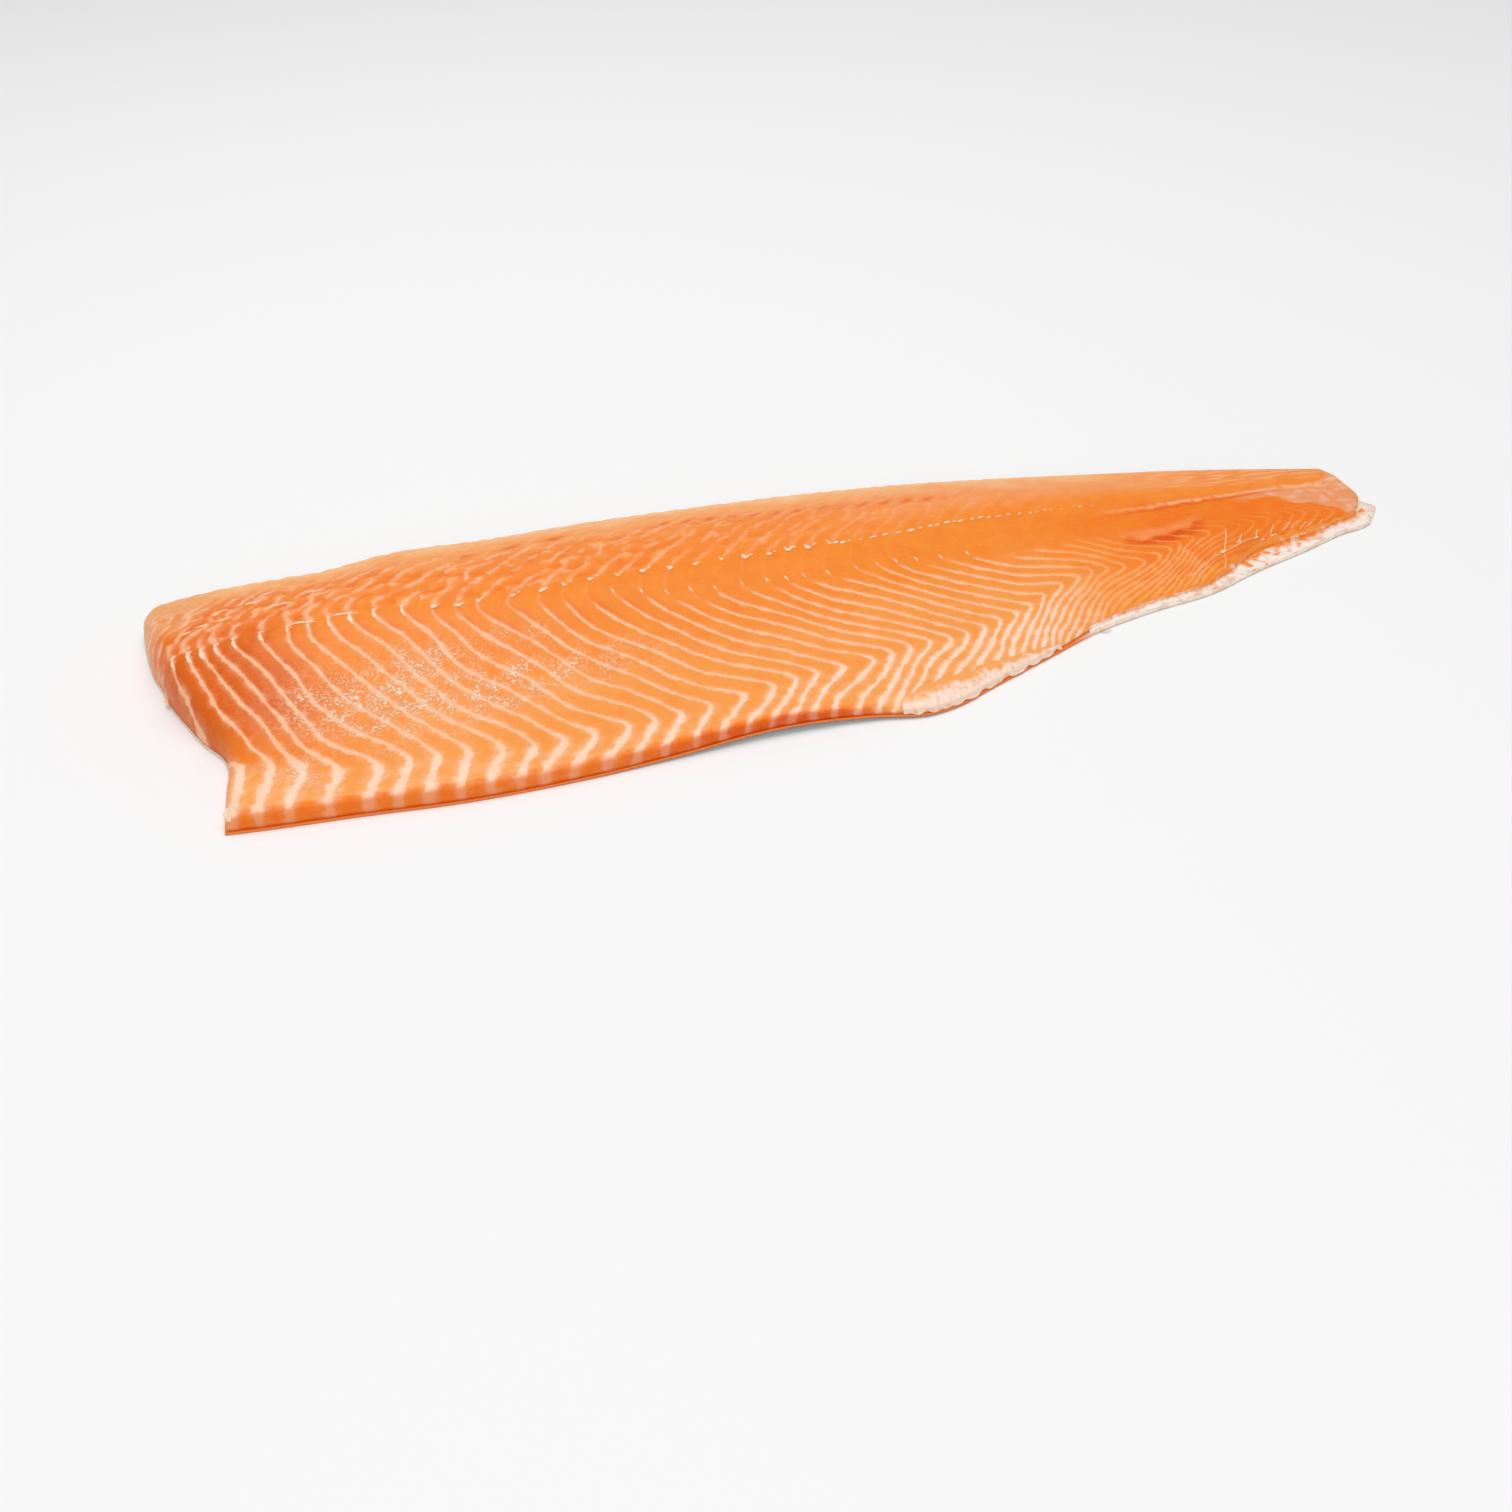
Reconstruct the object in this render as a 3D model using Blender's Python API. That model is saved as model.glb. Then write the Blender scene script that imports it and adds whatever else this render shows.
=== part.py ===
"""Raw salmon fillet: a whole side of salmon that lies skin side down.

The head end points to -X, the tail to +X, the thin belly edge to -Y and the back to +Y.
The flesh is one solid, and the skin under it is another, a layer that runs through its whole length.
Both are sheets of one plan, worked out from an edge line on each side and a thickness over it.
Run with: blender --background --python part.py
"""

import bmesh
import bpy
import numpy as np

# Driving dimensions, in metres
LENGTH = 0.565
WIDTH = 0.172
THICKNESS = 0.0285
SKIN_THICKNESS = 0.0009
SKIN_GAP = 0.0004
RIM = 0.0013

# How far each edge of the fillet lifts off what it lies on, and over how much width
BACK_LIFT = 0.005
BACK_LIFT_WIDTH = 0.024
BELLY_ARCH = 0.003
BELLY_ARCH_WIDTH = 0.022
BELLY_ARCH_AT = -0.035
BELLY_ARCH_REACH = 0.045

# Rounding of the flesh where its top turns down into each edge
BACK_ROUND = 0.009
HEAD_ROUND = 0.009
TAIL_ROUND = 0.006

# The seam between the back and the belly muscles, as a shallow groove
MIDLINE_SHARE = 0.58
GROOVE_DEPTH = 0.0009
GROOVE_WIDTH = 0.0035

# The dark crease in the flesh near the tail
CREASE_START = (0.143, -0.002)
CREASE_END = (0.188, 0.004)
CREASE_SAG = 0.004
CREASE_DEPTH = 0.0012
CREASE_WIDTH = 0.006

# Grid steps along and across each layer, split at the midline
FLESH_STEPS = (76, 15, 11)
SKIN_STEPS = (76, 8, 6)
END_CROWDING = 0.7

FLESH_COLOUR = (0.90, 0.34, 0.12, 1.0)
SKIN_COLOUR = (0.62, 0.60, 0.57, 1.0)

# Edge lines seen from above: share of the length from the middle, share of the width
BELLY_EDGE = [
    (-0.442, -0.453), (-0.415, -0.462), (-0.353, -0.477), (-0.282, -0.497), (-0.212, -0.497),
    (-0.141, -0.483), (-0.070, -0.468), (0.001, -0.480), (0.040, -0.500), (0.065, -0.483),
    (0.089, -0.448), (0.142, -0.375), (0.196, -0.302), (0.249, -0.259), (0.302, -0.230),
    (0.355, -0.166), (0.408, -0.113), (0.452, -0.064), (0.475, -0.049), (0.500, 0.000),
]
BACK_EDGE = [
    (-0.500, 0.398), (-0.484, 0.413), (-0.463, 0.419), (-0.442, 0.427), (-0.397, 0.430),
    (-0.360, 0.436), (-0.342, 0.456), (-0.318, 0.477), (-0.289, 0.485), (-0.258, 0.480),
    (-0.229, 0.481), (-0.178, 0.493), (-0.134, 0.495), (-0.065, 0.495), (0.001, 0.491),
    (0.096, 0.468), (0.153, 0.442), (0.196, 0.419), (0.281, 0.366), (0.355, 0.317),
    (0.404, 0.279), (0.440, 0.250), (0.482, 0.215),
]
MIDLINE = [
    (-0.484, 0.090), (-0.437, 0.064), (-0.354, 0.070), (-0.310, 0.066), (-0.273, 0.048),
    (-0.241, 0.050), (-0.188, 0.058), (-0.131, 0.068), (-0.020, 0.076), (0.078, 0.101),
    (0.119, 0.120), (0.213, 0.128), (0.284, 0.135), (0.366, 0.130), (0.472, 0.134),
]

# End lines: share of the way from the belly edge to the back edge, share of the length
HEAD_END = [
    (0.00, -0.4345), (0.12, -0.4350), (0.22, -0.4343), (0.28, -0.4380), (0.35, -0.4510),
    (0.45, -0.4660), (0.55, -0.4790), (0.62, -0.4850), (0.68, -0.4900), (0.75, -0.4940),
    (0.83, -0.4975), (0.90, -0.4993), (0.96, -0.4985), (1.00, -0.4910),
]
FLESH_TAIL = [
    (0.00, 0.472), (0.10, 0.484), (0.22, 0.492), (0.42, 0.493), (0.70, 0.489), (0.85, 0.486), (1.00, 0.479),
]
SKIN_TAIL = [
    (0.00, 0.482), (0.05, 0.491), (0.12, 0.500), (0.20, 0.500), (0.30, 0.496), (0.60, 0.493),
    (0.85, 0.488), (1.00, 0.480),
]

# Skin that the flesh leaves bare along the belly edge, in metres
BARE_SKIN = [
    (-0.50, 0.0010), (0.05, 0.0010), (0.15, 0.0012), (0.23, 0.0038), (0.30, 0.0050), (0.34, 0.0080),
    (0.364, 0.0115), (0.408, 0.0090), (0.436, 0.0068), (0.460, 0.0085), (0.495, 0.0100),
]

# Height of the flesh, by share of the length: of the loin as a share of the thickness,
# and of the belly edge as a share of the loin
LOIN_HEIGHT = [
    (-0.493, 0.70), (-0.463, 0.825), (-0.424, 0.912), (-0.353, 0.982), (-0.265, 1.00), (-0.158, 0.982),
    (-0.035, 0.93), (0.089, 0.825), (0.195, 0.702), (0.284, 0.579), (0.372, 0.456), (0.434, 0.351),
    (0.464, 0.274), (0.493, 0.210),
]
BELLY_HEIGHT = [
    (-0.442, 0.34), (-0.353, 0.29), (-0.265, 0.275), (-0.088, 0.25), (0.072, 0.23), (0.266, 0.24),
    (0.465, 0.36),
]

# Belly side of the flesh, by share of the length: how far in it reaches in metres, and its form,
# from 1 for a quarter circle to 2 for an even slope
BELLY_ROUND = [(-0.05, 0.0040), (0.04, 0.0120), (0.15, 0.0110), (0.25, 0.0070), (0.47, 0.0060)]
BELLY_SLOPE = [(-0.05, 1.0), (0.03, 1.8), (0.47, 1.8)]

# Rise of the flesh across it, from the belly edge at 0 to the back edge at 1
RISE_AT_HEAD = [
    (0.00, 0.00), (0.12, 0.06), (0.24, 0.20), (0.36, 0.43), (0.48, 0.72), (0.57, 0.93), (0.63, 1.00),
    (0.73, 0.95), (0.83, 0.77), (0.91, 0.55), (1.00, 0.05),
]
RISE_AT_TAIL = [
    (0.00, 0.00), (0.15, 0.35), (0.30, 0.70), (0.45, 0.93), (0.56, 1.00), (0.70, 0.92), (0.85, 0.67),
    (1.00, 0.28),
]
TAIL_SHAPE_FROM = 0.060
TAIL_SHAPE_TO = 0.240


def curve(stations, places):
    """Smooth line through (place, value) stations: a cubic between each pair, level past the ends."""
    at, value = np.array(stations, float).T
    slope = np.gradient(value, at)
    i = np.clip(np.searchsorted(at, places) - 1, 0, len(at) - 2)
    span = at[i + 1] - at[i]
    t = np.clip((places - at[i]) / span, 0, 1)
    rest = 1 - t
    start = value[i] * (1 + 2 * t) * rest**2 + slope[i] * span * t * rest**2
    end = value[i + 1] * (3 - 2 * t) * t**2 - slope[i + 1] * span * rest * t**2
    return start + end


def smooth_step(low, high, places):
    t = np.clip((places - low) / (high - low), 0, 1)
    return t * t * (3 - 2 * t)


def quarter_round(distance, radius):
    """0 on the edge, rising as a quarter circle to 1 at the radius."""
    t = np.clip(distance / radius, 0, 1)
    return np.sqrt(1 - (1 - t) ** 2)


def belly_line(x):
    return WIDTH * curve(BELLY_EDGE, x / LENGTH)


def back_line(x):
    return WIDTH * curve(BACK_EDGE, x / LENGTH)


def midline(x):
    return WIDTH * curve(MIDLINE, x / LENGTH)


def underside(x, y):
    """Height of the skin's lower face: flat, but for the lifted back edge and the arch in the belly edge."""
    from_back = (back_line(x) - y) / BACK_LIFT_WIDTH
    from_belly = (y - belly_line(x)) / BELLY_ARCH_WIDTH
    back = BACK_LIFT * np.clip(1 - from_back, 0, 1) ** 2
    reach = np.exp(-(((x - BELLY_ARCH_AT) / BELLY_ARCH_REACH) ** 2))
    return back + BELLY_ARCH * reach * np.clip(1 - from_belly, 0, 1) ** 1.5


def flesh_plan(u, v):
    """Plan position of the flesh for u from head to tail and v from belly edge to back edge."""
    head = LENGTH * curve(HEAD_END, v)
    tail = LENGTH * curve(FLESH_TAIL, v)
    x = head + (tail - head) * u
    belly = belly_line(x) + curve(BARE_SKIN, x / LENGTH)
    return x, across(belly, x, back_line(x), v), x - head, tail - x


def skin_plan(u, v):
    """Plan position of the skin, which stands out past the flesh by a thin rim and bares its belly strip."""
    head = LENGTH * curve(HEAD_END, v) - RIM / 2
    tail = LENGTH * curve(SKIN_TAIL, v)
    x = head + (tail - head) * u
    return x, across(belly_line(x), x, back_line(x) + RIM / 2, v)


def across(belly, x, back, v):
    """Place between the edges, with the midline always at the same share of the way."""
    low = np.clip(v / MIDLINE_SHARE, 0, 1)
    high = np.clip((v - MIDLINE_SHARE) / (1 - MIDLINE_SHARE), 0, 1)
    return belly + (midline(x) - belly) * low + (back - midline(x)) * high


def crease(x, y):
    """A furrow from CREASE_START to CREASE_END that sags halfway, where it is deepest, and fades to its ends."""
    ax, ay = CREASE_START
    dx, dy = CREASE_END[0] - ax, CREASE_END[1] - ay
    along = ((x - ax) * dx + (y - ay) * dy) / (dx * dx + dy * dy)
    t = np.clip(along, 0, 1)
    hump = 4 * t * (1 - t)
    away = np.hypot(x - ax - dx * t, y - ay - dy * t + CREASE_SAG * hump)
    return CREASE_DEPTH * np.exp(-((away / CREASE_WIDTH) ** 2)) * (0.4 + 0.6 * hump)


def flesh_height(x, v):
    """Thickness of the flesh: the loin's height, times the rise across the section from the belly side."""
    place = x / LENGTH
    to_tail = smooth_step(TAIL_SHAPE_FROM, TAIL_SHAPE_TO, x)
    rise = (1 - to_tail) * curve(RISE_AT_HEAD, v) + to_tail * curve(RISE_AT_TAIL, v)
    belly = curve(BELLY_HEIGHT, place)
    return THICKNESS * curve(LOIN_HEIGHT, place) * (belly + (1 - belly) * rise)


def flesh_surface(u, v, top):
    """The flesh at (u, v): its top where top is 1 and its underside where top is 0."""
    x, y, from_head, from_tail = flesh_plan(u, v)
    from_belly = y - belly_line(x) - curve(BARE_SKIN, x / LENGTH)
    from_back = back_line(x) - y
    place = x / LENGTH
    edges = quarter_round(from_belly, curve(BELLY_ROUND, place)) ** curve(BELLY_SLOPE, place)
    edges = edges * quarter_round(from_back, BACK_ROUND)
    edges = edges * quarter_round(from_head, HEAD_ROUND) * quarter_round(from_tail, TAIL_ROUND)
    bottom = underside(x, y) + SKIN_THICKNESS + SKIN_GAP
    groove = GROOVE_DEPTH * np.exp(-(((y - midline(x)) / GROOVE_WIDTH) ** 2))
    full = flesh_height(x, v) - SKIN_THICKNESS - SKIN_GAP - groove - crease(x, y)
    return x, y, bottom + top * (RIM + (full - RIM) * edges)


def skin_surface(u, v, top):
    """The skin at (u, v): one even thickness over the underside."""
    x, y = skin_plan(u, v)
    return x, y, underside(x, y) + top * SKIN_THICKNESS


def end_spacing(t):
    """Shares from 0 to 1 that crowd towards both ends."""
    return t - END_CROWDING * np.sin(2 * np.pi * t) / (2 * np.pi)


def side_spacing(t, low_steps, high_steps):
    """Shares from 0 to 1 that crowd towards both edges and the midline."""
    split = low_steps / (low_steps + high_steps)
    low = np.clip(t / split, 0, 1)
    high = np.clip((t - split) / (1 - split), 0, 1)
    ease_low = (1 - np.cos(np.pi * low)) / 2
    ease_high = (1 - np.cos(np.pi * high)) / 2
    return MIDLINE_SHARE * ease_low + (1 - MIDLINE_SHARE) * ease_high


def make_material(name, colour, roughness):
    material = bpy.data.materials.new(name)
    material.use_nodes = True
    shader = material.node_tree.nodes["Principled BSDF"]
    shader.inputs["Base Color"].default_value = colour
    shader.inputs["Roughness"].default_value = roughness
    shader.inputs["Metallic"].default_value = 0.0
    return material


def make_layer(name, surface, steps, material, collection):
    """A flat grid, extruded into a slab of two faces, whose points then move onto the surface."""
    along, low_steps, high_steps = steps
    bm = bmesh.new()
    bmesh.ops.create_grid(bm, x_segments=along, y_segments=low_steps + high_steps, size=0.5)
    slab = bmesh.ops.extrude_face_region(bm, geom=bm.faces[:])
    raised = [item for item in slab["geom"] if isinstance(item, bmesh.types.BMVert)]
    bmesh.ops.translate(bm, verts=raised, vec=(0, 0, 1))
    bmesh.ops.recalc_face_normals(bm, faces=bm.faces[:])
    mesh = bpy.data.meshes.new(name)
    bm.to_mesh(mesh)
    bm.free()
    points = np.empty(len(mesh.vertices) * 3)
    mesh.vertices.foreach_get("co", points)
    flat_u, flat_v, top = points.reshape(-1, 3).T
    u = end_spacing(flat_u + 0.5)
    v = side_spacing(flat_v + 0.5, low_steps, high_steps)
    mesh.vertices.foreach_set("co", np.column_stack(surface(u, v, top)).ravel())
    mesh.update()
    mesh.materials.append(material)
    mesh.shade_smooth()
    mesh.set_sharp_from_angle(angle=np.radians(50))
    layer = bpy.data.objects.new(name, mesh)
    collection.objects.link(layer)
    return layer


def main():
    for old in list(bpy.data.objects):
        bpy.data.objects.remove(old)
    fillet = bpy.data.collections.new("raw_salmon_fillet")
    bpy.context.scene.collection.children.link(fillet)
    flesh = make_material("salmon_flesh", FLESH_COLOUR, 0.35)
    skin = make_material("salmon_skin", SKIN_COLOUR, 0.30)
    make_layer("flesh", flesh_surface, FLESH_STEPS, flesh, fillet)
    make_layer("skin", skin_surface, SKIN_STEPS, skin, fillet)


main()
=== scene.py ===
import math

import bpy
import numpy as np
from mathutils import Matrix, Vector


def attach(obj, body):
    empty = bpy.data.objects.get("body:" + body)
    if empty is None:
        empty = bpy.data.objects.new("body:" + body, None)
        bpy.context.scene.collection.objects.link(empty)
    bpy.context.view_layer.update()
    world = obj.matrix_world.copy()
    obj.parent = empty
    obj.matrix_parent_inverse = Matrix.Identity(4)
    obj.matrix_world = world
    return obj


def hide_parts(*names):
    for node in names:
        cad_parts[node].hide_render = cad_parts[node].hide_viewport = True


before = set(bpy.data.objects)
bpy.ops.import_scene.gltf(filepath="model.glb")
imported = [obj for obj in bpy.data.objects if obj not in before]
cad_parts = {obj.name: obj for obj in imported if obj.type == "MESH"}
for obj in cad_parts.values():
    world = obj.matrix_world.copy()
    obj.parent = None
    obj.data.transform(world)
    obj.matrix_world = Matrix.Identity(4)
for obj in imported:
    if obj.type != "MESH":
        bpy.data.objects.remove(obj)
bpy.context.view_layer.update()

# A raw side of salmon that lies skin down: head end at -X, tail at +X, belly edge at -Y, back at +Y.
# Lengths are in metres, or in mm where a value is multiplied by mm.

mm = 0.001

form = {
    "length": 0.565,
    "width": 0.172,
    "thickness": 0.0285,
    "skinThickness": 0.0009,
    "skinGap": 0.00015,
    "rim": 0.0013,
    "backLift": 0.005,
    "backLiftWidth": 0.024,
    "bellyArch": 0.003,
    "bellyArchWidth": 0.022,
    "bellyArchAt": -0.035,
    "bellyArchReach": 0.045,
    "backRound": 0.009,
    "headRound": 0.009,
    "tailRound": 0.006,
    "midShare": 0.58,
    "grooveDepth": 0.0009,
    "grooveWidth": 0.0035,
    "creaseStart": (0.143, -0.002),
    "creaseEnd": (0.188, 0.004),
    "creaseSag": 0.004,
    "creaseDepth": 0.0012,
    "creaseWidth": 0.006,
    "tailShapeFrom": 0.060,
    "tailShapeTo": 0.240,
    "fray": 0.0006,                   # how far the flesh's tail end is frayed
    "inset": (0.9988, 0.9960, 1.0),   # keeps the finer meshes inside the solids' box
}

# Edge lines seen from above: share of the length from the middle, share of the width
bellyEdge = [
    (-0.442, -0.453), (-0.415, -0.462), (-0.353, -0.477), (-0.282, -0.497), (-0.212, -0.497),
    (-0.141, -0.483), (-0.070, -0.468), (0.001, -0.480), (0.040, -0.500), (0.065, -0.483),
    (0.089, -0.448), (0.142, -0.375), (0.196, -0.302), (0.249, -0.259), (0.302, -0.230),
    (0.355, -0.166), (0.408, -0.113), (0.452, -0.064), (0.475, -0.049), (0.500, 0.000),
]
backEdge = [
    (-0.500, 0.398), (-0.484, 0.413), (-0.463, 0.419), (-0.442, 0.427), (-0.397, 0.430),
    (-0.360, 0.436), (-0.342, 0.456), (-0.318, 0.477), (-0.289, 0.485), (-0.258, 0.480),
    (-0.229, 0.481), (-0.178, 0.493), (-0.134, 0.495), (-0.065, 0.495), (0.001, 0.491),
    (0.096, 0.468), (0.153, 0.442), (0.196, 0.419), (0.281, 0.366), (0.355, 0.317),
    (0.404, 0.279), (0.440, 0.250), (0.482, 0.215),
]
midPlaces = [
    (-0.484, 0.090), (-0.437, 0.064), (-0.354, 0.070), (-0.310, 0.066), (-0.273, 0.048),
    (-0.241, 0.050), (-0.188, 0.058), (-0.131, 0.068), (-0.020, 0.076), (0.078, 0.101),
    (0.119, 0.120), (0.213, 0.128), (0.284, 0.135), (0.366, 0.130), (0.472, 0.134),
]

# End lines: share of the way from the belly edge to the back edge, share of the length
headEnd = [
    (0.00, -0.4345), (0.12, -0.4350), (0.22, -0.4343), (0.28, -0.4380), (0.35, -0.4510),
    (0.45, -0.4660), (0.55, -0.4790), (0.62, -0.4850), (0.68, -0.4900), (0.75, -0.4940),
    (0.83, -0.4975), (0.90, -0.4993), (0.96, -0.4985), (1.00, -0.4910),
]
fleshTail = [
    (0.00, 0.472), (0.10, 0.484), (0.22, 0.492), (0.42, 0.493), (0.70, 0.489), (0.85, 0.486),
    (1.00, 0.479),
]
skinTail = [
    (0.00, 0.482), (0.05, 0.491), (0.12, 0.500), (0.20, 0.500), (0.30, 0.496), (0.60, 0.493),
    (0.85, 0.488), (1.00, 0.480),
]

# Skin that the flesh leaves bare along the belly edge: share of the length, width in metres
bareSkin = [
    (-0.50, 0.0010), (0.05, 0.0010), (0.15, 0.0012), (0.23, 0.0038), (0.30, 0.0050), (0.34, 0.0080),
    (0.364, 0.0115), (0.408, 0.0090), (0.436, 0.0068), (0.460, 0.0085), (0.495, 0.0100),
]

# Height along the loin and at the belly edge, the belly side's reach and form, the rise across the section
loinHeight = [
    (-0.493, 0.70), (-0.463, 0.825), (-0.424, 0.912), (-0.353, 0.982), (-0.265, 1.00), (-0.158, 0.982),
    (-0.035, 0.93), (0.089, 0.825), (0.195, 0.702), (0.284, 0.579), (0.372, 0.456), (0.434, 0.351),
    (0.464, 0.274), (0.493, 0.210),
]
bellyHeight = [
    (-0.442, 0.34), (-0.353, 0.29), (-0.265, 0.275), (-0.088, 0.25), (0.072, 0.23), (0.266, 0.24),
    (0.465, 0.36),
]
bellyRound = [(-0.05, 0.0040), (0.04, 0.0120), (0.15, 0.0110), (0.25, 0.0070), (0.47, 0.0060)]
bellySlope = [(-0.05, 1.0), (0.03, 1.8), (0.47, 1.8)]
riseAtHead = [
    (0.00, 0.00), (0.12, 0.06), (0.24, 0.20), (0.36, 0.43), (0.48, 0.72), (0.57, 0.93), (0.63, 1.00),
    (0.73, 0.95), (0.83, 0.77), (0.91, 0.55), (1.00, 0.05),
]
riseAtTail = [
    (0.00, 0.00), (0.15, 0.35), (0.30, 0.70), (0.45, 0.93), (0.56, 1.00), (0.70, 0.92), (0.85, 0.67),
    (1.00, 0.28),
]


# Smooth line through stations: a cubic between each pair, level past the ends
def curve(stations, places):
    at, value = np.array(stations, float).T
    slope = np.gradient(value, at)
    i = np.clip(np.searchsorted(at, places) - 1, 0, len(at) - 2)
    span = at[i + 1] - at[i]
    t = np.clip((places - at[i]) / span, 0, 1)
    rest = 1 - t
    start = value[i] * (1 + 2 * t) * rest**2 + slope[i] * span * t * rest**2
    end = value[i + 1] * (3 - 2 * t) * t**2 - slope[i + 1] * span * rest * t**2
    return start + end


# 3t^2 - 2t^3 of the way from low to high, 0 before it and 1 after it
def ease(low, high, places):
    t = np.clip((places - low) / (high - low), 0, 1)
    return t * t * (3 - 2 * t)


# A bump of 1 at the middle that falls as exp(-(distance / reach)^2)
def bell(places, middle, reach):
    return np.exp(-(((places - middle) / reach) ** 2))


# 0 below zero and equal to the value above it, rounded over the given width
def softPart(value, width):
    return width * np.logaddexp(0, value / width)


# 0 on the edge, rising as a quarter circle to 1 at the radius
def quarterRound(distance, radius):
    t = np.clip(distance / radius, 0, 1)
    return np.sqrt(1 - (1 - t) ** 2)


# Sum of plane waves of random heading and of lengths near size, divided so that it swings about as far as 1
def ripple(x, y, size, seed, waves=16):
    draw = np.random.default_rng(seed)
    total = np.zeros(np.shape(x))
    for _ in range(waves):
        heading, shift = draw.uniform(0, 2 * np.pi, 2)
        pace = 2 * np.pi / (size * draw.uniform(0.7, 1.7))
        total += np.sin(pace * (x * np.cos(heading) + y * np.sin(heading)) + shift)
    return total / np.sqrt(waves)


# Value at x of a line whose stations lie at shares of the length
def along(stations, x):
    return curve(stations, x / form["length"])


# Place of an end line at share v of the way from the belly edge to the back edge
def endLine(stations, v):
    return form["length"] * curve(stations, v)


def bellyLine(x):
    return form["width"] * along(bellyEdge, x)


def backLine(x):
    return form["width"] * along(backEdge, x)


def midLine(x):
    return form["width"] * along(midPlaces, x)


def fleshEdge(x):
    return bellyLine(x) + along(bareSkin, x)


# Skin's lower face: flat, plus a square rise under the back edge and a bell-shaped arch in the belly edge
def underside(x, y):
    fromBack = (backLine(x) - y) / form["backLiftWidth"]
    fromBelly = (y - bellyLine(x)) / form["bellyArchWidth"]
    back = form["backLift"] * np.clip(1 - fromBack, 0, 1) ** 2
    reach = bell(x, form["bellyArchAt"], form["bellyArchReach"])
    return back + form["bellyArch"] * reach * np.clip(1 - fromBelly, 0, 1) ** 1.5


# Place between the edges, with the midline always at the same share of the way
def across(low, middle, high, v):
    first = np.clip(v / form["midShare"], 0, 1)
    second = np.clip((v - form["midShare"]) / (1 - form["midShare"]), 0, 1)
    return low + (middle - low) * first + (high - middle) * second


# The share v that across() turned into y
def shareAcross(low, middle, high, y):
    first = np.clip((y - low) / (middle - low), 0, 1)
    second = np.clip((y - middle) / (high - middle), 0, 1)
    return form["midShare"] * first + (1 - form["midShare"]) * second


def fleshShare(x, y):
    return shareAcross(fleshEdge(x), midLine(x), backLine(x), y)


# A furrow that sags halfway, where it is deepest: depth times exp(-(distance / width)^2)
def crease(x, y):
    ax, ay = form["creaseStart"]
    dx, dy = form["creaseEnd"][0] - ax, form["creaseEnd"][1] - ay
    t = np.clip(((x - ax) * dx + (y - ay) * dy) / (dx * dx + dy * dy), 0, 1)
    hump = 4 * t * (1 - t)
    away = np.hypot(x - ax - dx * t, y - ay - dy * t + form["creaseSag"] * hump)
    return form["creaseDepth"] * bell(away, 0, form["creaseWidth"]) * (0.4 + 0.6 * hump)


# Distance above the furrow's line in mm, and how strongly it shows there: 1 halfway along it
def fold(mx, my):
    (ax, ay), (bx, by) = np.array(form["creaseStart"]) / mm, np.array(form["creaseEnd"]) / mm
    t = np.clip((mx - ax) / (bx - ax), 0, 1)
    line = ay + (by - ay) * t - form["creaseSag"] / mm * 4 * t * (1 - t)
    return my - line + 0.7 * ripple(mx, my, 9, 37), (4 * t * (1 - t)) ** 0.5


# Loin height times the rise across the section, which turns from the head's shape into the tail's
def fleshHeight(x, v):
    toTail = ease(form["tailShapeFrom"], form["tailShapeTo"], x)
    rise = (1 - toTail) * curve(riseAtHead, v) + toTail * curve(riseAtTail, v)
    belly = along(bellyHeight, x)
    return form["thickness"] * along(loinHeight, x) * (belly + (1 - belly) * rise)


# Plan place of the flesh for u from head to tail and v from belly edge to back edge
def fleshPlan(u, v):
    head, tail = endLine(headEnd, v), endLine(fleshTail, v)
    tail = tail - form["fray"] * (1 + ripple(300 * v, 0 * v, 16, 71))
    x = head + (tail - head) * u
    return x, across(fleshEdge(x), midLine(x), backLine(x), v)


# Plan place of the skin, which stands out past the flesh by a thin rim and bares its belly strip
def skinPlan(u, v):
    head, tail = endLine(headEnd, v) - form["rim"] / 2, endLine(skinTail, v)
    x = head + (tail - head) * u
    return x, across(bellyLine(x), midLine(x), backLine(x) + form["rim"] / 2, v)


def skinTop(x, y):
    return underside(x, y) + form["skinThickness"]


def fleshUnder(x, y):
    return skinTop(x, y) + form["skinGap"]


# How far the flesh has risen from its rim: 0 on its edges and 1 inside them
def edgeRise(x, y, v):
    rise = quarterRound(y - fleshEdge(x), along(bellyRound, x)) ** along(bellySlope, x)
    rise = rise * quarterRound(backLine(x) - y, form["backRound"])
    rise = rise * quarterRound(x - endLine(headEnd, v), form["headRound"])
    return rise * quarterRound(endLine(fleshTail, v) - x, form["tailRound"])


# Cut face of the flesh above a plan place: rim, plus the height inside it, times the rounding of the edges
def fleshTop(x, y):
    v = fleshShare(x, y)
    groove = form["grooveDepth"] * bell(y, midLine(x), form["grooveWidth"])
    full = fleshHeight(x, v) - form["skinThickness"] - form["skinGap"] - groove - crease(x, y)
    return fleshUnder(x, y) + form["rim"] + (full - form["rim"]) * edgeRise(x, y, v)


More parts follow.
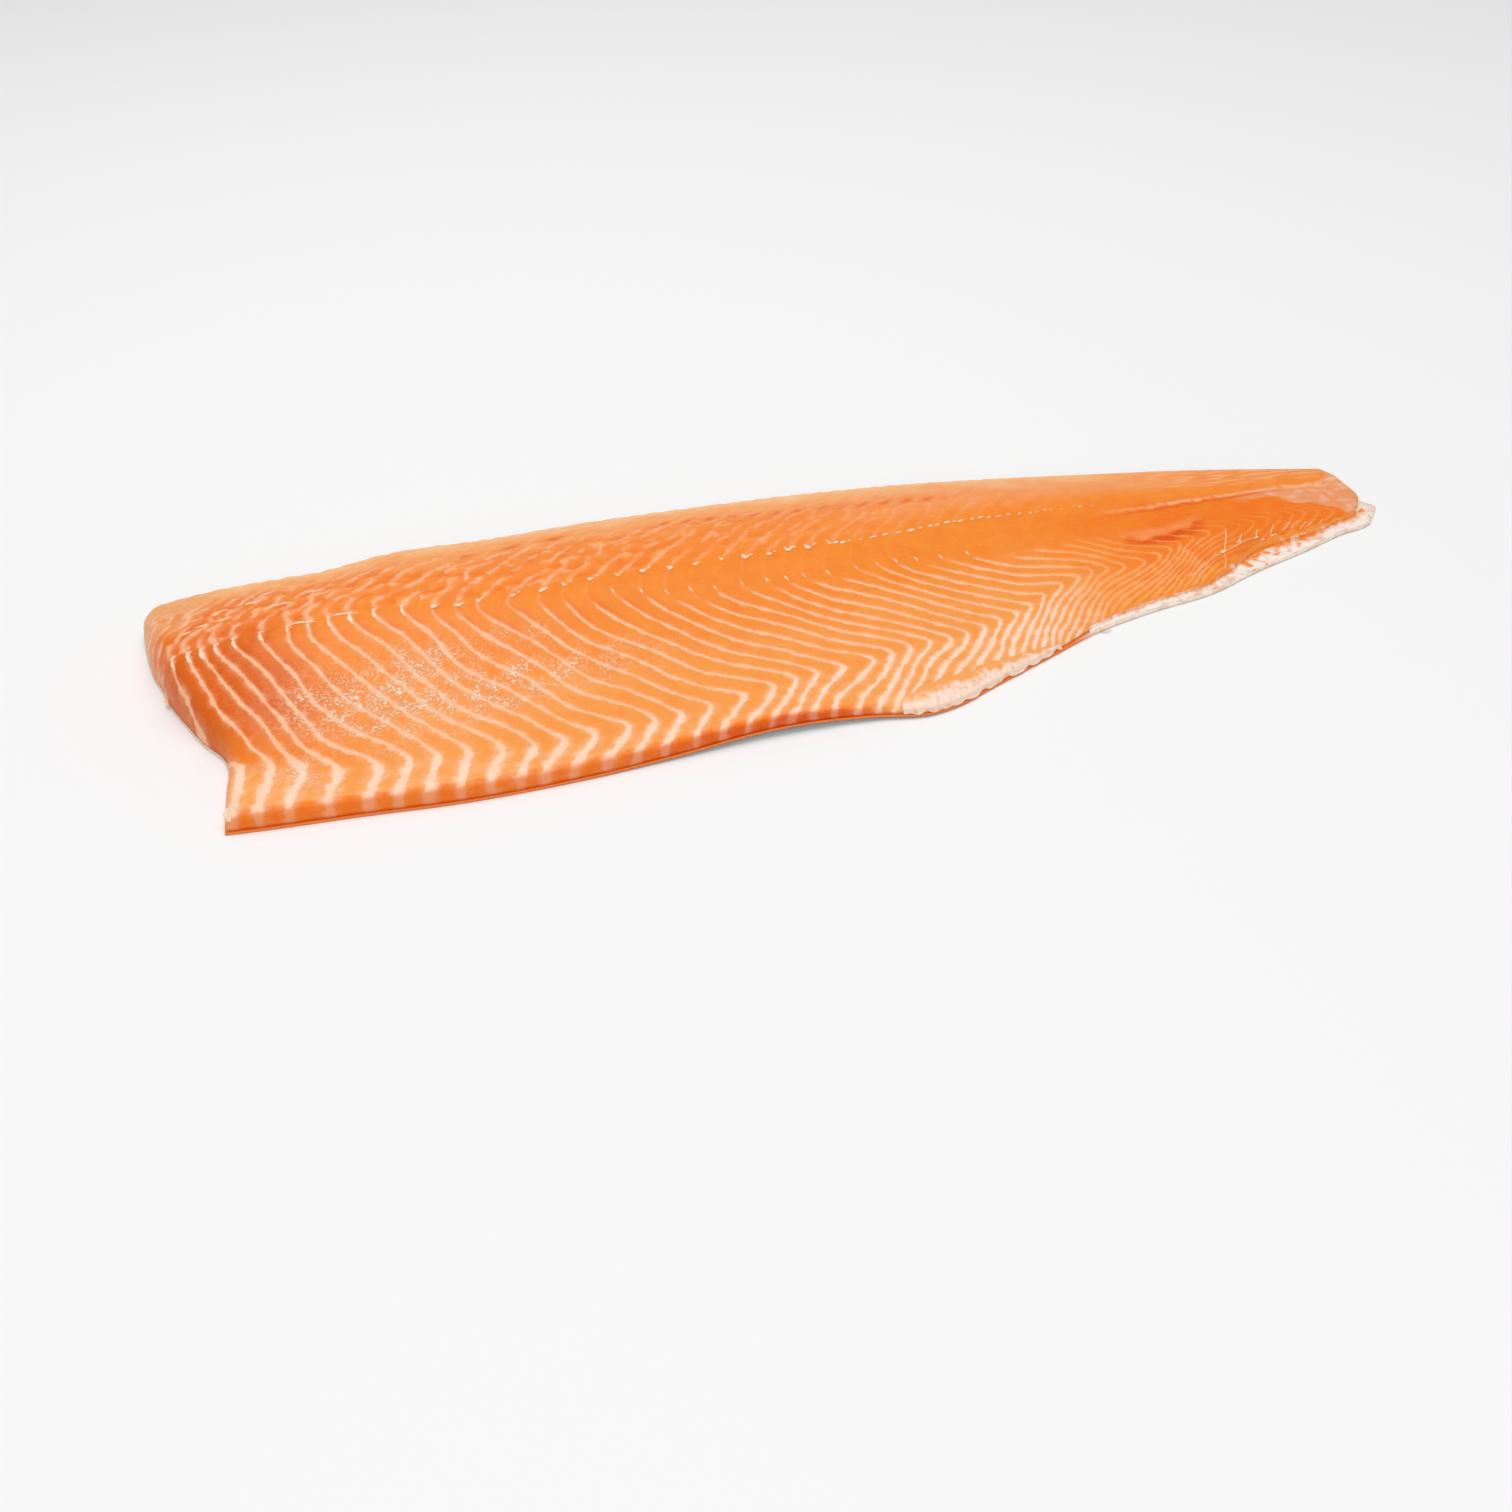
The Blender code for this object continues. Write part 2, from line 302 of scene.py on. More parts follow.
# Pattern of the muscle blocks, all in mm: each pale line leaves the midline, runs down towards the tail,
# turns sharply at its tip and goes back towards the head on the belly edge
muscle = {
    "countAt": [(-320, -11), (-273, -3), (-252, 0), (-246, 0.95), (-230, 3), (-175, 9), (-62, 20),
                (44, 31), (160, 43), (290, 60)],
    "reach": [(-290, 15), (-237, 27), (-217, 35), (-204, 41), (-190, 48), (-166, 55), (-107, 68),
              (-49, 77.5), (28, 79.5), (84, 74), (125, 70), (200, 56), (290, 50)],
    "tipAt": [(-290, -47), (-237, -53), (-217, -57), (-204, -62), (-178, -65), (-154, -67), (-142, -69),
              (-118, -68.6), (-94, -67), (-70, -65), (-49, -61), (-26, -56.5), (7, -52.6), (28, -48.4),
              (50, -46), (67, -41), (85, -34.3), (102, -24.4), (118, -18.5), (144, -18), (160, -13),
              (178, -7), (200, -2), (290, 6)],
    "turnBack": [(-290, 0.15), (-205, 0.2), (-178, 0.28), (-143, 0.55), (-118, 0.85), (-80, 0.9), (0, 1.0),
                 (50, 1.1), (84, 1.4), (100, 1.7), (120, 2.2), (150, 2.8), (190, 2.8), (215, 2.0),
                 (290, 1.4)],
    "lag": [(-290, 0.0), (-180, 0.03), (-120, 0.06), (-60, 0.16), (60, 0.19), (290, 0.2)],
    "startAt": [(-250, -0.06), (-170, 0.0), (-120, 0.08), (-95, 0.09), (-60, 0.19), (0, 0.24), (60, 0.32),
                (110, 0.5)],
    "bendBack": [(-200, 0), (-150, 2), (-125, 4), (-95, 6), (-45, 11), (10, 13), (290, 14)],
    "bandWidth": [(-250, 1.2), (-150, 1.15), (-90, 0.85), (-30, 0.50), (60, 0.34), (110, 0.08)],
    "dorsalSlant": [(-290, 0.3), (-200, 0.6), (-120, 0.85), (0, 1.0), (100, 1.2), (290, 1.6)],
    "dorsalShow": [(-290, 0.75), (-120, 0.58), (-20, 0.34), (60, 0.15), (100, 0.1), (290, 0.08)],
    "faintShow": [(-290, 0.55), (-150, 0.45), (-110, 0.16), (-60, 0.07), (30, 0.05), (90, 0.0)],
    "headDip": 5.0,
    "rowDip": 5.0,
    "lagWidth": 0.05,
    "tipRounding": 1.3,
    "wander": 1.3,
    "wanderSize": 34,
    "wobble": 0.25,
    "wobbleSize": 11,
    "dorsalWander": 2.0,
    "dorsalWanderSize": 15,
}


# Row in mm from which the lines leave: the midline, a little lower near the head's cut
def lineRow(mx):
    return midLine(mx * mm) / mm - muscle["rowDip"] * ease(-236, -266, mx)


# Number of the muscle line at a place: whole on a line, rising towards the tail. It is the count of lines
# along the midline, read at the place where the line through (x, y) left the midline
def lineNumber(x, y):
    x, y = x / mm, y / mm
    mid = lineRow(x)
    above = np.clip(y - mid, 0, None)
    loose = muscle["dorsalWander"] * ease(4, 16, above)
    x = x + muscle["wander"] * ripple(x, y, muscle["wanderSize"], 3)
    x = x + muscle["wobble"] * ripple(x, y, muscle["wobbleSize"], 4)
    x = x + loose * ripple(x, y, muscle["dorsalWanderSize"], 5)
    tip = curve(muscle["tipAt"], x)
    past = softPart(tip - y, muscle["tipRounding"])
    turned = x + curve(muscle["turnBack"], x) * past
    share = np.clip(mid - y, 0, None) / (mid - tip)
    share = 1 - softPart(1 - share, muscle["tipRounding"] / 60)
    lag, width = curve(muscle["lag"], turned), muscle["lagWidth"]
    start = np.clip(curve(muscle["startAt"], x), 0.06, 1)
    ahead = curve(muscle["bendBack"], x) * softPart(1 - share / start, 0.1)
    share = softPart(share - lag, width) / softPart(1 - lag, width)
    dip = bell(above, 8, 6) * ease(-120, -200, x) * ease(0, 5, above)
    slanted = curve(muscle["dorsalSlant"], x) * above - muscle["headDip"] * dip
    return curve(muscle["countAt"], turned - curve(muscle["reach"], turned) * share - slanted - ahead)


# Place in mm where line n crosses the midline or, atStart, the row in which the lines start
def crossing(n, atStart):
    x = np.linspace(-280, 200, 2400)
    y = lineRow(x)
    if atStart:
        y = y - np.clip(curve(muscle["startAt"], x), 0, 1) * (y - curve(muscle["tipAt"], x))
    number = np.maximum.accumulate(lineNumber(x * mm, y * mm))
    return np.interp(n, number, x), np.interp(np.interp(n, number, x), x, y)


# Lines per metre: length of the gradient of the line number, from steps of 0.2 mm
def lineDensity(x, y, number):
    step = 0.2 * mm
    return np.hypot(lineNumber(x + step, y) - number, lineNumber(x, y + step) - number) / step


# Where a place lies on the fillet, in mm: x, y, how far above the midline, what share of the way down to
# the lines' tips, how far from the flesh's belly edge and how far from its back edge
def landmarks(x, y):
    mx, my = x / mm, y / mm
    mid = lineRow(mx)
    down = (mid - my) / (mid - curve(muscle["tipAt"], mx))
    return mx, my, my - mid, down, my - fleshEdge(x) / mm, backLine(x) / mm - my


# Dark pits in the back, in mm: a row of them at even spacing, and a few larger ones by themselves
pits = {
    "line": [(-150, 50), (-126, 52), (-107, 55), (-56, 54), (-17, 49), (17, 47), (65, 43)],
    "spacing": 10.2,
    "from": -58,
    "to": 70,
    "alone": [(-146, 49, 3.0), (-126, 52, 4.5), (-107, 55, 5.0)],
}


def pitMask(mx, my):
    away = my - curve(pits["line"], mx)
    part = (mx - pits["from"] - 0.7 * away) / pits["spacing"]
    mask = bell(part - np.round(part), 0, 0.25) * bell(away, 0, 3.2)
    mask = mask * ease(pits["from"] - 6, pits["from"], mx) * ease(pits["to"] + 6, pits["to"], mx)
    for atX, atY, reach in pits["alone"]:
        mask = np.maximum(mask, bell(mx - 0.8 * (my - atY), atX, reach) * bell(my, atY, 3.0))
    return mask


# sRGB colour of 0 to 255 as the linear numbers that Blender uses
def colour(red, green, blue):
    value = np.array([red, green, blue]) / 255
    linear = np.where(value <= 0.04045, value / 12.92, ((value + 0.055) / 1.055) ** 2.4)
    return (*linear, 1.0)


# Some of these stand in for light and shade. The pale ridge colour is a painted highlight. The crease
# colour and the darker of the two side colours are painted shade. The side and head colours are the flesh's
# deeper orange, partly painted shade
fleshColours = {
    "main": (247, 142, 46),
    "loin": (249, 144, 56),
    "centre": (249, 160, 78),
    "belly": (250, 165, 84),
    "back": (252, 170, 98),
    "backEdge": (254, 200, 142),
    "backPink": (249, 164, 102),
    "head": (214, 88, 10),
    "headTop": (238, 124, 42),
    "headCorner": (240, 170, 108),
    "tail": (243, 122, 26),
    "tailTop": (243, 148, 74),
    "tailBorder": (248, 150, 26),
    "membrane": (240, 162, 114),
    "membranePale": (240, 186, 156),
    "ridgeHighlight": (252, 194, 152),
    "crease": (226, 86, 10),
    "pit": (238, 112, 20),
    "side": (255, 138, 34),
    "sideLowShade": (230, 92, 16),
    "line": (255, 190, 146),
    "tailLine": (255, 166, 90),
    "band": (255, 217, 188),
}


# Lays one colour over an array of colours by a mask from 0 to 1
def lay(colours, mask, name):
    mask = np.clip(mask, 0, 1)[:, None]
    return colours * (1 - mask) + np.array(colour(*fleshColours[name])) * mask


# Borders of the pale membrane near the tail and the raised crest along it, in mm
tailLines = {
    "low": [(205, 15), (217, 13.5), (229, 14), (237, 11), (250, 8), (262, 5), (268, 0.5), (280, -2)],
    "high": [(205, 18), (233, 22), (260, 24), (270, 31), (282, 37)],
    "crest": [(160, 16), (208, 19.5), (233, 22), (260, 24), (282, 30)],
}


# 1 well inside the membrane and 0 outside its frayed borders
def membraneShare(mx, my):
    fray = ripple(mx, my, 7, 13)
    inside = ease(-1.0, 1.2, my - curve(tailLines["low"], mx) + fray)
    return inside * ease(2.0, -2.0, my - curve(tailLines["high"], mx) + fray) * ease(202, 236, mx)


# Colours of the flesh by place: named colours laid over each other in this order, each by its smooth mask.
# The numbers in the masks are places and distances in mm, or shares of the way down
def fleshTint(x, y):
    mx, my, above, down, fromEdge, fromBack = landmarks(x, y)
    cloud, small = ripple(mx, my, 26, 11), ripple(mx, my, 8, 12)
    over, hump = fold(mx, my)
    membrane = membraneShare(mx, my)
    toTail = ease(70, 190, mx)
    toHead = ease(-196, -240, mx + 0.30 * my + 5 * cloud)
    pink = ease(-20, 70, mx + 14 * cloud) * (1 - ease(190, 240, mx))
    border = ease(110, 135, mx) * (1 - ease(176, 196, mx))
    streak = ease(-0.2, 0.9, ripple(0.2 * mx, my, 3.0, 14)) * ease(150, 200, mx)
    crest = curve(tailLines["crest"], mx) + 0.4 * small
    # Where the crest's painted highlight shows, and where the painted shade along the line under it shows
    crestHighlightShow = ease(125, 185, mx) * ease(-1.3, 0.2, ripple(mx, my, 6, 16))
    crestShadeShow = ease(130, 170, mx) * (1 - ease(225, 245, mx))
    # Mask of painted shade at the foot of the belly's cut side face, deepest under the belly edge's arch
    low = ease(2.4, 0.2, fromEdge + 0.5 * small) * (0.35 + 0.65 * bell(mx, -35, 60))
    layers = [
        ("loin", ease(-2, 10, above) * (1 - 0.4 * toTail)),
        ("centre", 0.9 * ease(0.3, 0.8, down + 0.06 * cloud) * (1 - toTail) * ease(-225, -160, mx)),
        ("belly", 0.9 * ease(0.92, 1.12, down + 0.03 * cloud) * (1 - toTail)),
        ("back", 0.8 * ease(26, 48, above + 4 * cloud)),
        ("backPink", 0.6 * ease(3, 16, above) * pink),
        ("backEdge", 0.85 * ease(30, 6, fromBack + 3 * cloud) * (1 - ease(120, 200, mx))),
        # Deeper orange at the head end, partly painted shade on the head's cut face and the slope next to
        # it
        ("head", 0.75 * toHead * ease(-62, -20, my) * (1 - ease(8, 30, my))),
        ("headTop", 0.7 * toHead * ease(2, 20, my) * (1 - ease(44, 60, my))),
        ("headCorner", 0.8 * ease(-256, -274, mx - 0.25 * my) * ease(20, 36, my)),
        ("tail", 0.8 * toTail * ease(2, -8, above)),
        ("tailTop", ease(190, 235, mx) * ease(4, 12, above)),
        ("tailBorder", 0.8 * ease(8, 2, fromEdge + small) * border),
        # Painted highlight in the ridge colour on the lip above the tail's furrow, and painted shade in the
        # crease colour in the furrow under it
        ("ridgeHighlight", 0.25 * hump * bell(over, 3.0, 2.0)),
        ("crease", 0.95 * hump * ease(-6, -1, over) * ease(1.4, 0.4, over)),
        ("pit", 0.95 * pitMask(mx, my)),
        ("membrane", 0.85 * membrane),
        ("membranePale", 0.7 * membrane * ease(-0.2, 1.2, ripple(0.6 * mx, my, 5, 15))),
        ("backEdge", 0.45 * streak * ease(4, 10, above)),
        # Painted highlight along the tail's crest in the ridge colour, and painted shade in the crease
        # colour along the line under it
        ("ridgeHighlight", 0.85 * bell(my, crest, 1.1) * crestHighlightShow),
        ("crease", 0.6 * bell(my, crest - 2.4, 1.0) * crestShadeShow),
        # The belly's cut side face in its own deeper orange, partly painted shade of a face turned away
        # from the top light; the next colour lays painted shade at its foot
        ("side", ease(3.4, 2.4, fromEdge) * (1 - ease(-30, 12, mx))),
        ("sideLowShade", low * (1 - ease(-10, 16, mx))),
    ]
    tint = np.tile(colour(*fleshColours["main"]), (len(x), 1))
    for name, mask in layers:
        tint = lay(tint, mask, name)
    return tint


# Half width in mm, strength, brokenness and colour of the pale lines by place
def lineLook(x, y):
    mx, my, above, down, fromEdge, _ = landmarks(x, y)
    toTail = ease(95, 170, mx)
    start = curve(muscle["startAt"], mx) + 0.03 * ripple(mx, my, 12, 22)
    dorsal = ease(0, 3, above) * (1 - ease(34, 48, above))
    show = curve(muscle["faintShow"], mx) * ease(-0.03, 0.02, down)
    show = np.maximum(ease(start, start + 0.12, down), show)
    show = show * (1 - ease(120, 165, mx) * ease(1.0, 0.6, down)) * (1 - 0.75 * ease(160, 200, mx))
    show = show + dorsal * curve(muscle["dorsalShow"], mx)
    show = show * (1 - 0.75 * ease(2.2, 0.8, fromEdge) * (1 - ease(-20, 20, mx)))
    band = ease(0.92, 1.05, down) * (fromEdge > -5)
    half = 0.47 + 0.16 * ease(-90, -170, mx) + 0.12 * ease(0.3, 0.9, down)
    half = half + 0.4 * dorsal + band * curve(muscle["bandWidth"], mx)
    half = half * (1 - 0.3 * toTail) * (1 + 0.16 * ripple(mx, my, 9, 21))
    broken = 0.15 + 0.35 * dorsal + 0.4 * ease(5, 14, above) + 0.3 * toTail
    broken = broken + 0.6 * ease(start + 0.04, start - 0.04, down) * (above < 0)
    tint = np.tile(colour(*fleshColours["line"]), (len(x), 1))
    tint = lay(tint, 0.1 + 0.9 * band, "band")
    tint = lay(tint, 0.9 * ease(80, 130, mx), "tailLine")
    return np.clip(half, 0.15, None), np.clip(show, 0, 1), np.clip(broken, 0, 1), tint


# Patches where the wet face sparkles, as glints painted into its colour over a bump: middle in mm, reach
# along x and y, strength
sparklePatches = [
    (-212, -24, 15, 12, 0.5), (-198, -36, 20, 12, 0.9), (-180, -32, 18, 14, 1.0), (-168, -16, 16, 9, 0.9),
    (-152, -38, 20, 11, 1.0), (-218, -61, 9, 7, 0.8), (-125, -34, 24, 10, 0.6), (-92, -30, 22, 9, 0.4),
    (-132, -12, 18, 8, 0.4), (-178, -58, 12, 4, 0.5),
]


def sparkleMask(x, y):
    mx, my = x / mm, y / mm
    mask = np.zeros(np.shape(x))
    for atX, atY, reachX, reachY, strength in sparklePatches:
        mask = mask + strength * bell(mx, atX, reachX) * bell(my, atY, reachY)
    return np.clip(mask * (0.75 + 0.45 * ripple(mx, my, 11, 24)), 0, 1)


# What is added to the smooth form, in mm where nothing else is said
relief = {
    "blockBulge": 0.26,    # how far a block swells between its lines
    "blockStep": 0.20,     # how far each block stands over the next one
    "backScallops": 0.28,  # the small hollows in the back half
    "backCrags": 0.42,     # the slanting crags along the far edge
    "backPits": 0.35,      # the pits in the back
    "grooveFill": 0.9,     # share of the midline's groove that the muscle fills again near the head
    "skinDeep": 0.10,      # fine unevenness all over
    "membraneRibs": 0.25,  # the ribs under the tail's membrane
    "foldLip": 0.5,        # how far the flesh stands up above the tail's furrow
    "cragSpacing": 7.5,
}


# Height that the muscle adds to the smooth form, in mm: what is raised less what is sunk
def muscleRelief(x, y, number):
    mx, my, above = landmarks(x, y)[:3]
    show = lineLook(x, y)[1]
    part = number - np.floor(number)
    dorsal = ease(3, 12, above) * (1 - 0.7 * ease(-60, 60, mx))
    far = ease(28, 46, above) * (1 - ease(80, 150, mx))
    wave = 2 * np.pi * (mx - 0.9 * my) / relief["cragSpacing"]
    crags = np.sin(wave + 1.6 * ripple(mx, my, 20, 35))
    over, hump = fold(mx, my)
    fill = (1 - 0.6 * ease(-80, 60, mx)) * form["grooveDepth"] / mm
    ribs = np.sin(0.9 * mx + 0.5 * my + 1.4 * ripple(mx, my, 9, 36))
    raised = {
        "blockBulge": show * (np.sin(np.pi * part) ** 0.7 - 0.7),
        "foldLip": hump * ease(-0.8, 1.2, over) * ease(13, 3, over),
        "grooveFill": fill * bell(above, 0, form["grooveWidth"] / mm),
    }
    sunk = {
        "blockStep": show * part * ease(1.0, 0.9, part),
        "backScallops": dorsal * (0.5 + 0.4 * ripple(mx, 1.2 * my, 8, 34)),
        "backCrags": far * (0.5 + 0.3 * crags + 0.2 * ripple(mx, my, 6, 31)),
        "backPits": pitMask(mx, my),
        "membraneRibs": membraneShare(mx, my) * (0.5 + 0.5 * ribs),
        "skinDeep": 0.5 + 0.3 * ripple(mx, my, 5, 32) + 0.2 * ripple(mx, my, 2.6, 33),
    }
    height = sum(relief[name] * share for name, share in raised.items())
    return height - sum(relief[name] * share for name, share in sunk.items())


# The finished top of the flesh: fleshTop plus the relief, which fades at the edges
def cutFace(x, y):
    relieved = muscleRelief(x, y, lineNumber(x, y)) * mm
    return fleshTop(x, y) + relieved * edgeRise(x, y, fleshShare(x, y))


# Height of what a thin sheet lies on: the cut face inside the flesh's outline and the skin's top outside it
def groundHeight(x, y):
    tail = endLine(fleshTail, fleshShare(x, y))
    inside = np.minimum(np.minimum(y - fleshEdge(x), backLine(x) - y), tail - x)
    share = ease(-0.7 * mm, 0.5 * mm, inside)
    return skinTop(x, y) * (1 - share) + cutFace(x, y) * share


# Steps from 0 to 1 that lie closer together near both ends, as 1 + extra * exp(-distance / reach)
def crowdedSteps(count, extra, reach):
    t = np.linspace(0, 1, 4000)
    weight = 1 + extra * (np.exp(-t / reach) + np.exp((t - 1) / reach))
    total = np.concatenate([[0], np.cumsum((weight[1:] + weight[:-1]) / 2)])
    return np.interp(np.linspace(0, 1, count + 1), total / total[-1], t)


# Closed slab between two grids of points: each face keeps only the rows named for it, but every row meets
# at the head and tail ends, where one many-sided face joins the kept rows
def makeSlab(name, top, under, topRows, underRows):
    columns, rows = top.shape[0] - 1, top.shape[1] - 1
    numbers, points, total = [], [], 0
    for layer, kept in ((top, topRows), (under, underRows)):
        used = np.zeros(layer.shape[:2], bool)
        used[[0, columns], :] = True
        used[:, kept] = True
        number = np.full(layer.shape[:2], -1)
        number[used] = total + np.arange(used.sum())
        total += used.sum()
        numbers.append(number)
        points.append(layer[used])
    a, b = numbers
    faces = []
    for number, kept, flip in ((a, topRows, False), (b, underRows, True)):
        for low, high in zip(kept[:-1], kept[1:]):
            near, far = number[:, low], number[:, high]
            quads = np.column_stack([near[:-1], near[1:], far[1:], far[:-1]])
            if high - low > 1:
                first, last = number[0, low:high + 1], number[columns, low:high + 1]
                ends = [[near[1], far[1], *first[::-1]], [far[-2], near[-2], *last]]
                quads = quads[1:-1]
                faces += [face[::-1] if flip else face for face in ends]
            faces += (quads[:, ::-1] if flip else quads).tolist()
    flipped = ((a[::-1, rows], b[::-1, rows]), (a[0, ::-1], b[0, ::-1]))
    for upper, lower in ((a[:, 0], b[:, 0]), (a[columns], b[columns]), *flipped):
        faces += np.column_stack([upper[:-1], lower[:-1], lower[1:], upper[1:]]).tolist()
    return makeObject(name, np.concatenate(points), faces)


def makeObject(name, points, faces):
    mesh = bpy.data.meshes.new(name)
    mesh.from_pydata((points * form["inset"]).tolist(), [], faces)
    mesh.update()
    mesh.shade_smooth()
    made = bpy.data.objects.new(name, mesh)
    bpy.context.scene.collection.objects.link(made)
    return made


def pointsOf(piece):
    flat = np.empty(len(piece.data.vertices) * 3)
    piece.data.vertices.foreach_get("co", flat)
    return flat.reshape(-1, 3) / form["inset"]


# Values at a piece's points, each by its name: one number a point, or a colour of four
def store(piece, **values):
    for name, value in values.items():
        value = np.asarray(value, np.float32)
        kind, slot = ("FLOAT", "value") if value.ndim == 1 else ("FLOAT_COLOR", "color")
        piece.data.attributes.new(name, kind, "POINT").data.foreach_set(slot, value.ravel())


# Material helpers: a node with its settings and inputs, and short forms of the common ones
def addNode(tree, kind, inputs, **settings):
    made = tree.nodes.new("ShaderNode" + kind)
    for name, value in settings.items():
        setattr(made, name, value)
    for name, value in inputs.items():
        if isinstance(value, bpy.types.NodeSocket):
            tree.links.new(value, made.inputs[name])
        else:
            made.inputs[name].default_value = value
    return made


def calculate(tree, operation, first, second=0.0):
    return addNode(tree, "Math", {0: first, 1: second}, operation=operation).outputs[0]


def vector(tree, operation, first, second, output="Vector"):
    return addNode(tree, "VectorMath", {0: first, 1: second}, operation=operation).outputs[output]


def multiply(tree, *values):
    product = values[0]
    for value in values[1:]:
        product = calculate(tree, "MULTIPLY", product, value)
    return product


def mixColours(tree, share, first, second, blend="MIX"):
    inputs = {0: share, 6: first, 7: second}
    return addNode(tree, "Mix", inputs, data_type="RGBA", blend_type=blend).outputs[2]


def rescale(tree, value, fromLow, fromHigh, toLow, toHigh, smooth=True):
    kind = "SMOOTHSTEP" if smooth else "LINEAR"
    inputs = {0: value, 1: fromLow, 2: fromHigh, 3: toLow, 4: toHigh}
    return addNode(tree, "MapRange", inputs, interpolation_type=kind).outputs[0]


def readNumber(tree, name):
    return addNode(tree, "Attribute", {}, attribute_name=name).outputs["Fac"]


def readColour(tree, name):
    return addNode(tree, "Attribute", {}, attribute_name=name).outputs["Color"]


# Object coordinates, drawn out by stretch
def objectPlace(tree, stretch=(1, 1, 1)):
    at = addNode(tree, "TexCoord", {}).outputs["Object"]
    return addNode(tree, "Mapping", {0: at, 3: stretch}).outputs[0]


# Noise on Object coordinates whose features are about size metres long
def noise(tree, size, detail=2.0, stretch=(1, 1, 1)):
    inputs = {"Vector": objectPlace(tree, stretch), "Scale": 1 / size, "Detail": detail}
    return addNode(tree, "TexNoise", inputs).outputs["Fac"]


# Noise turned into a mask: from toLow where it is below low to toHigh where it is above high
def patches(tree, size, detail, low, high, toLow=0, toHigh=1, stretch=(1, 1, 1)):
    return rescale(tree, noise(tree, size, detail, stretch), low, high, toLow, toHigh)


def newMaterial(name):
    material = bpy.data.materials.new(name)
    material.use_nodes = True
    return material, material.node_tree, material.node_tree.nodes["Principled BSDF"]


def setShader(shader, **values):
    for name, value in values.items():
        shader.inputs[name.replace("_", " ")].default_value = value


# Bump of a height in metres, on the surface and on the wet film over it
def setBump(tree, shader, height):
    bump = addNode(tree, "Bump", {"Height": height, "Distance": 1.0, "Strength": 1.0})
    tree.links.new(bump.outputs[0], shader.inputs["Normal"])
    tree.links.new(bump.outputs[0], shader.inputs["Coat Normal"])


wetIndex = 1.38  # refraction of wet flesh and of the film on it

fleshGloss = {
    "roughness": (0.36, 0.55),
    "specular": 0.10,
    "coat": 0.14,
    "coatRoughness": 0.10,
    "glow": 0.12,                   # share of light that passes under the surface
    "glowReach": (1.0, 0.32, 0.12),
    "glowScale": 0.004,
    "fray": 0.9 * mm,               # how far a pale line wanders, finely and broadly
    "bend": 1.2 * mm,
    "lineScale": (0.6 * mm, 1.4 * mm),  # what a line's half width is multiplied by, from place to place
    "halo": 0.24,                   # strength of the glow beside a line, then of each pattern: random cloud, painted shade in the back's hollows, a painted highlight on their ridges, pale fibres
    "cloud": 0.32,
    "hollowShade": 0.75,
    "ridgeHighlight": 0.60,
    "fibre": 0.32,
    "grain": 1.1 * mm,
    "grainHeight": 0.09 * mm,
    "dimple": 3.2 * mm,
    "dimpleHeight": 0.16 * mm,
    "sparkle": 1.05 * mm,
    "sparkleHeight": 0.22 * mm,
    "scallop": 8.0 * mm,
    "deep": (0.95, 0.66, 0.38, 1),  # what a colour is multiplied by in the shade of a block
    "paleFibre": (1, 0.68, 0.42, 1),
    # colour of the painted glints where the face sparkles
    "wetLight": (1.0, 0.76, 0.56, 1),
}


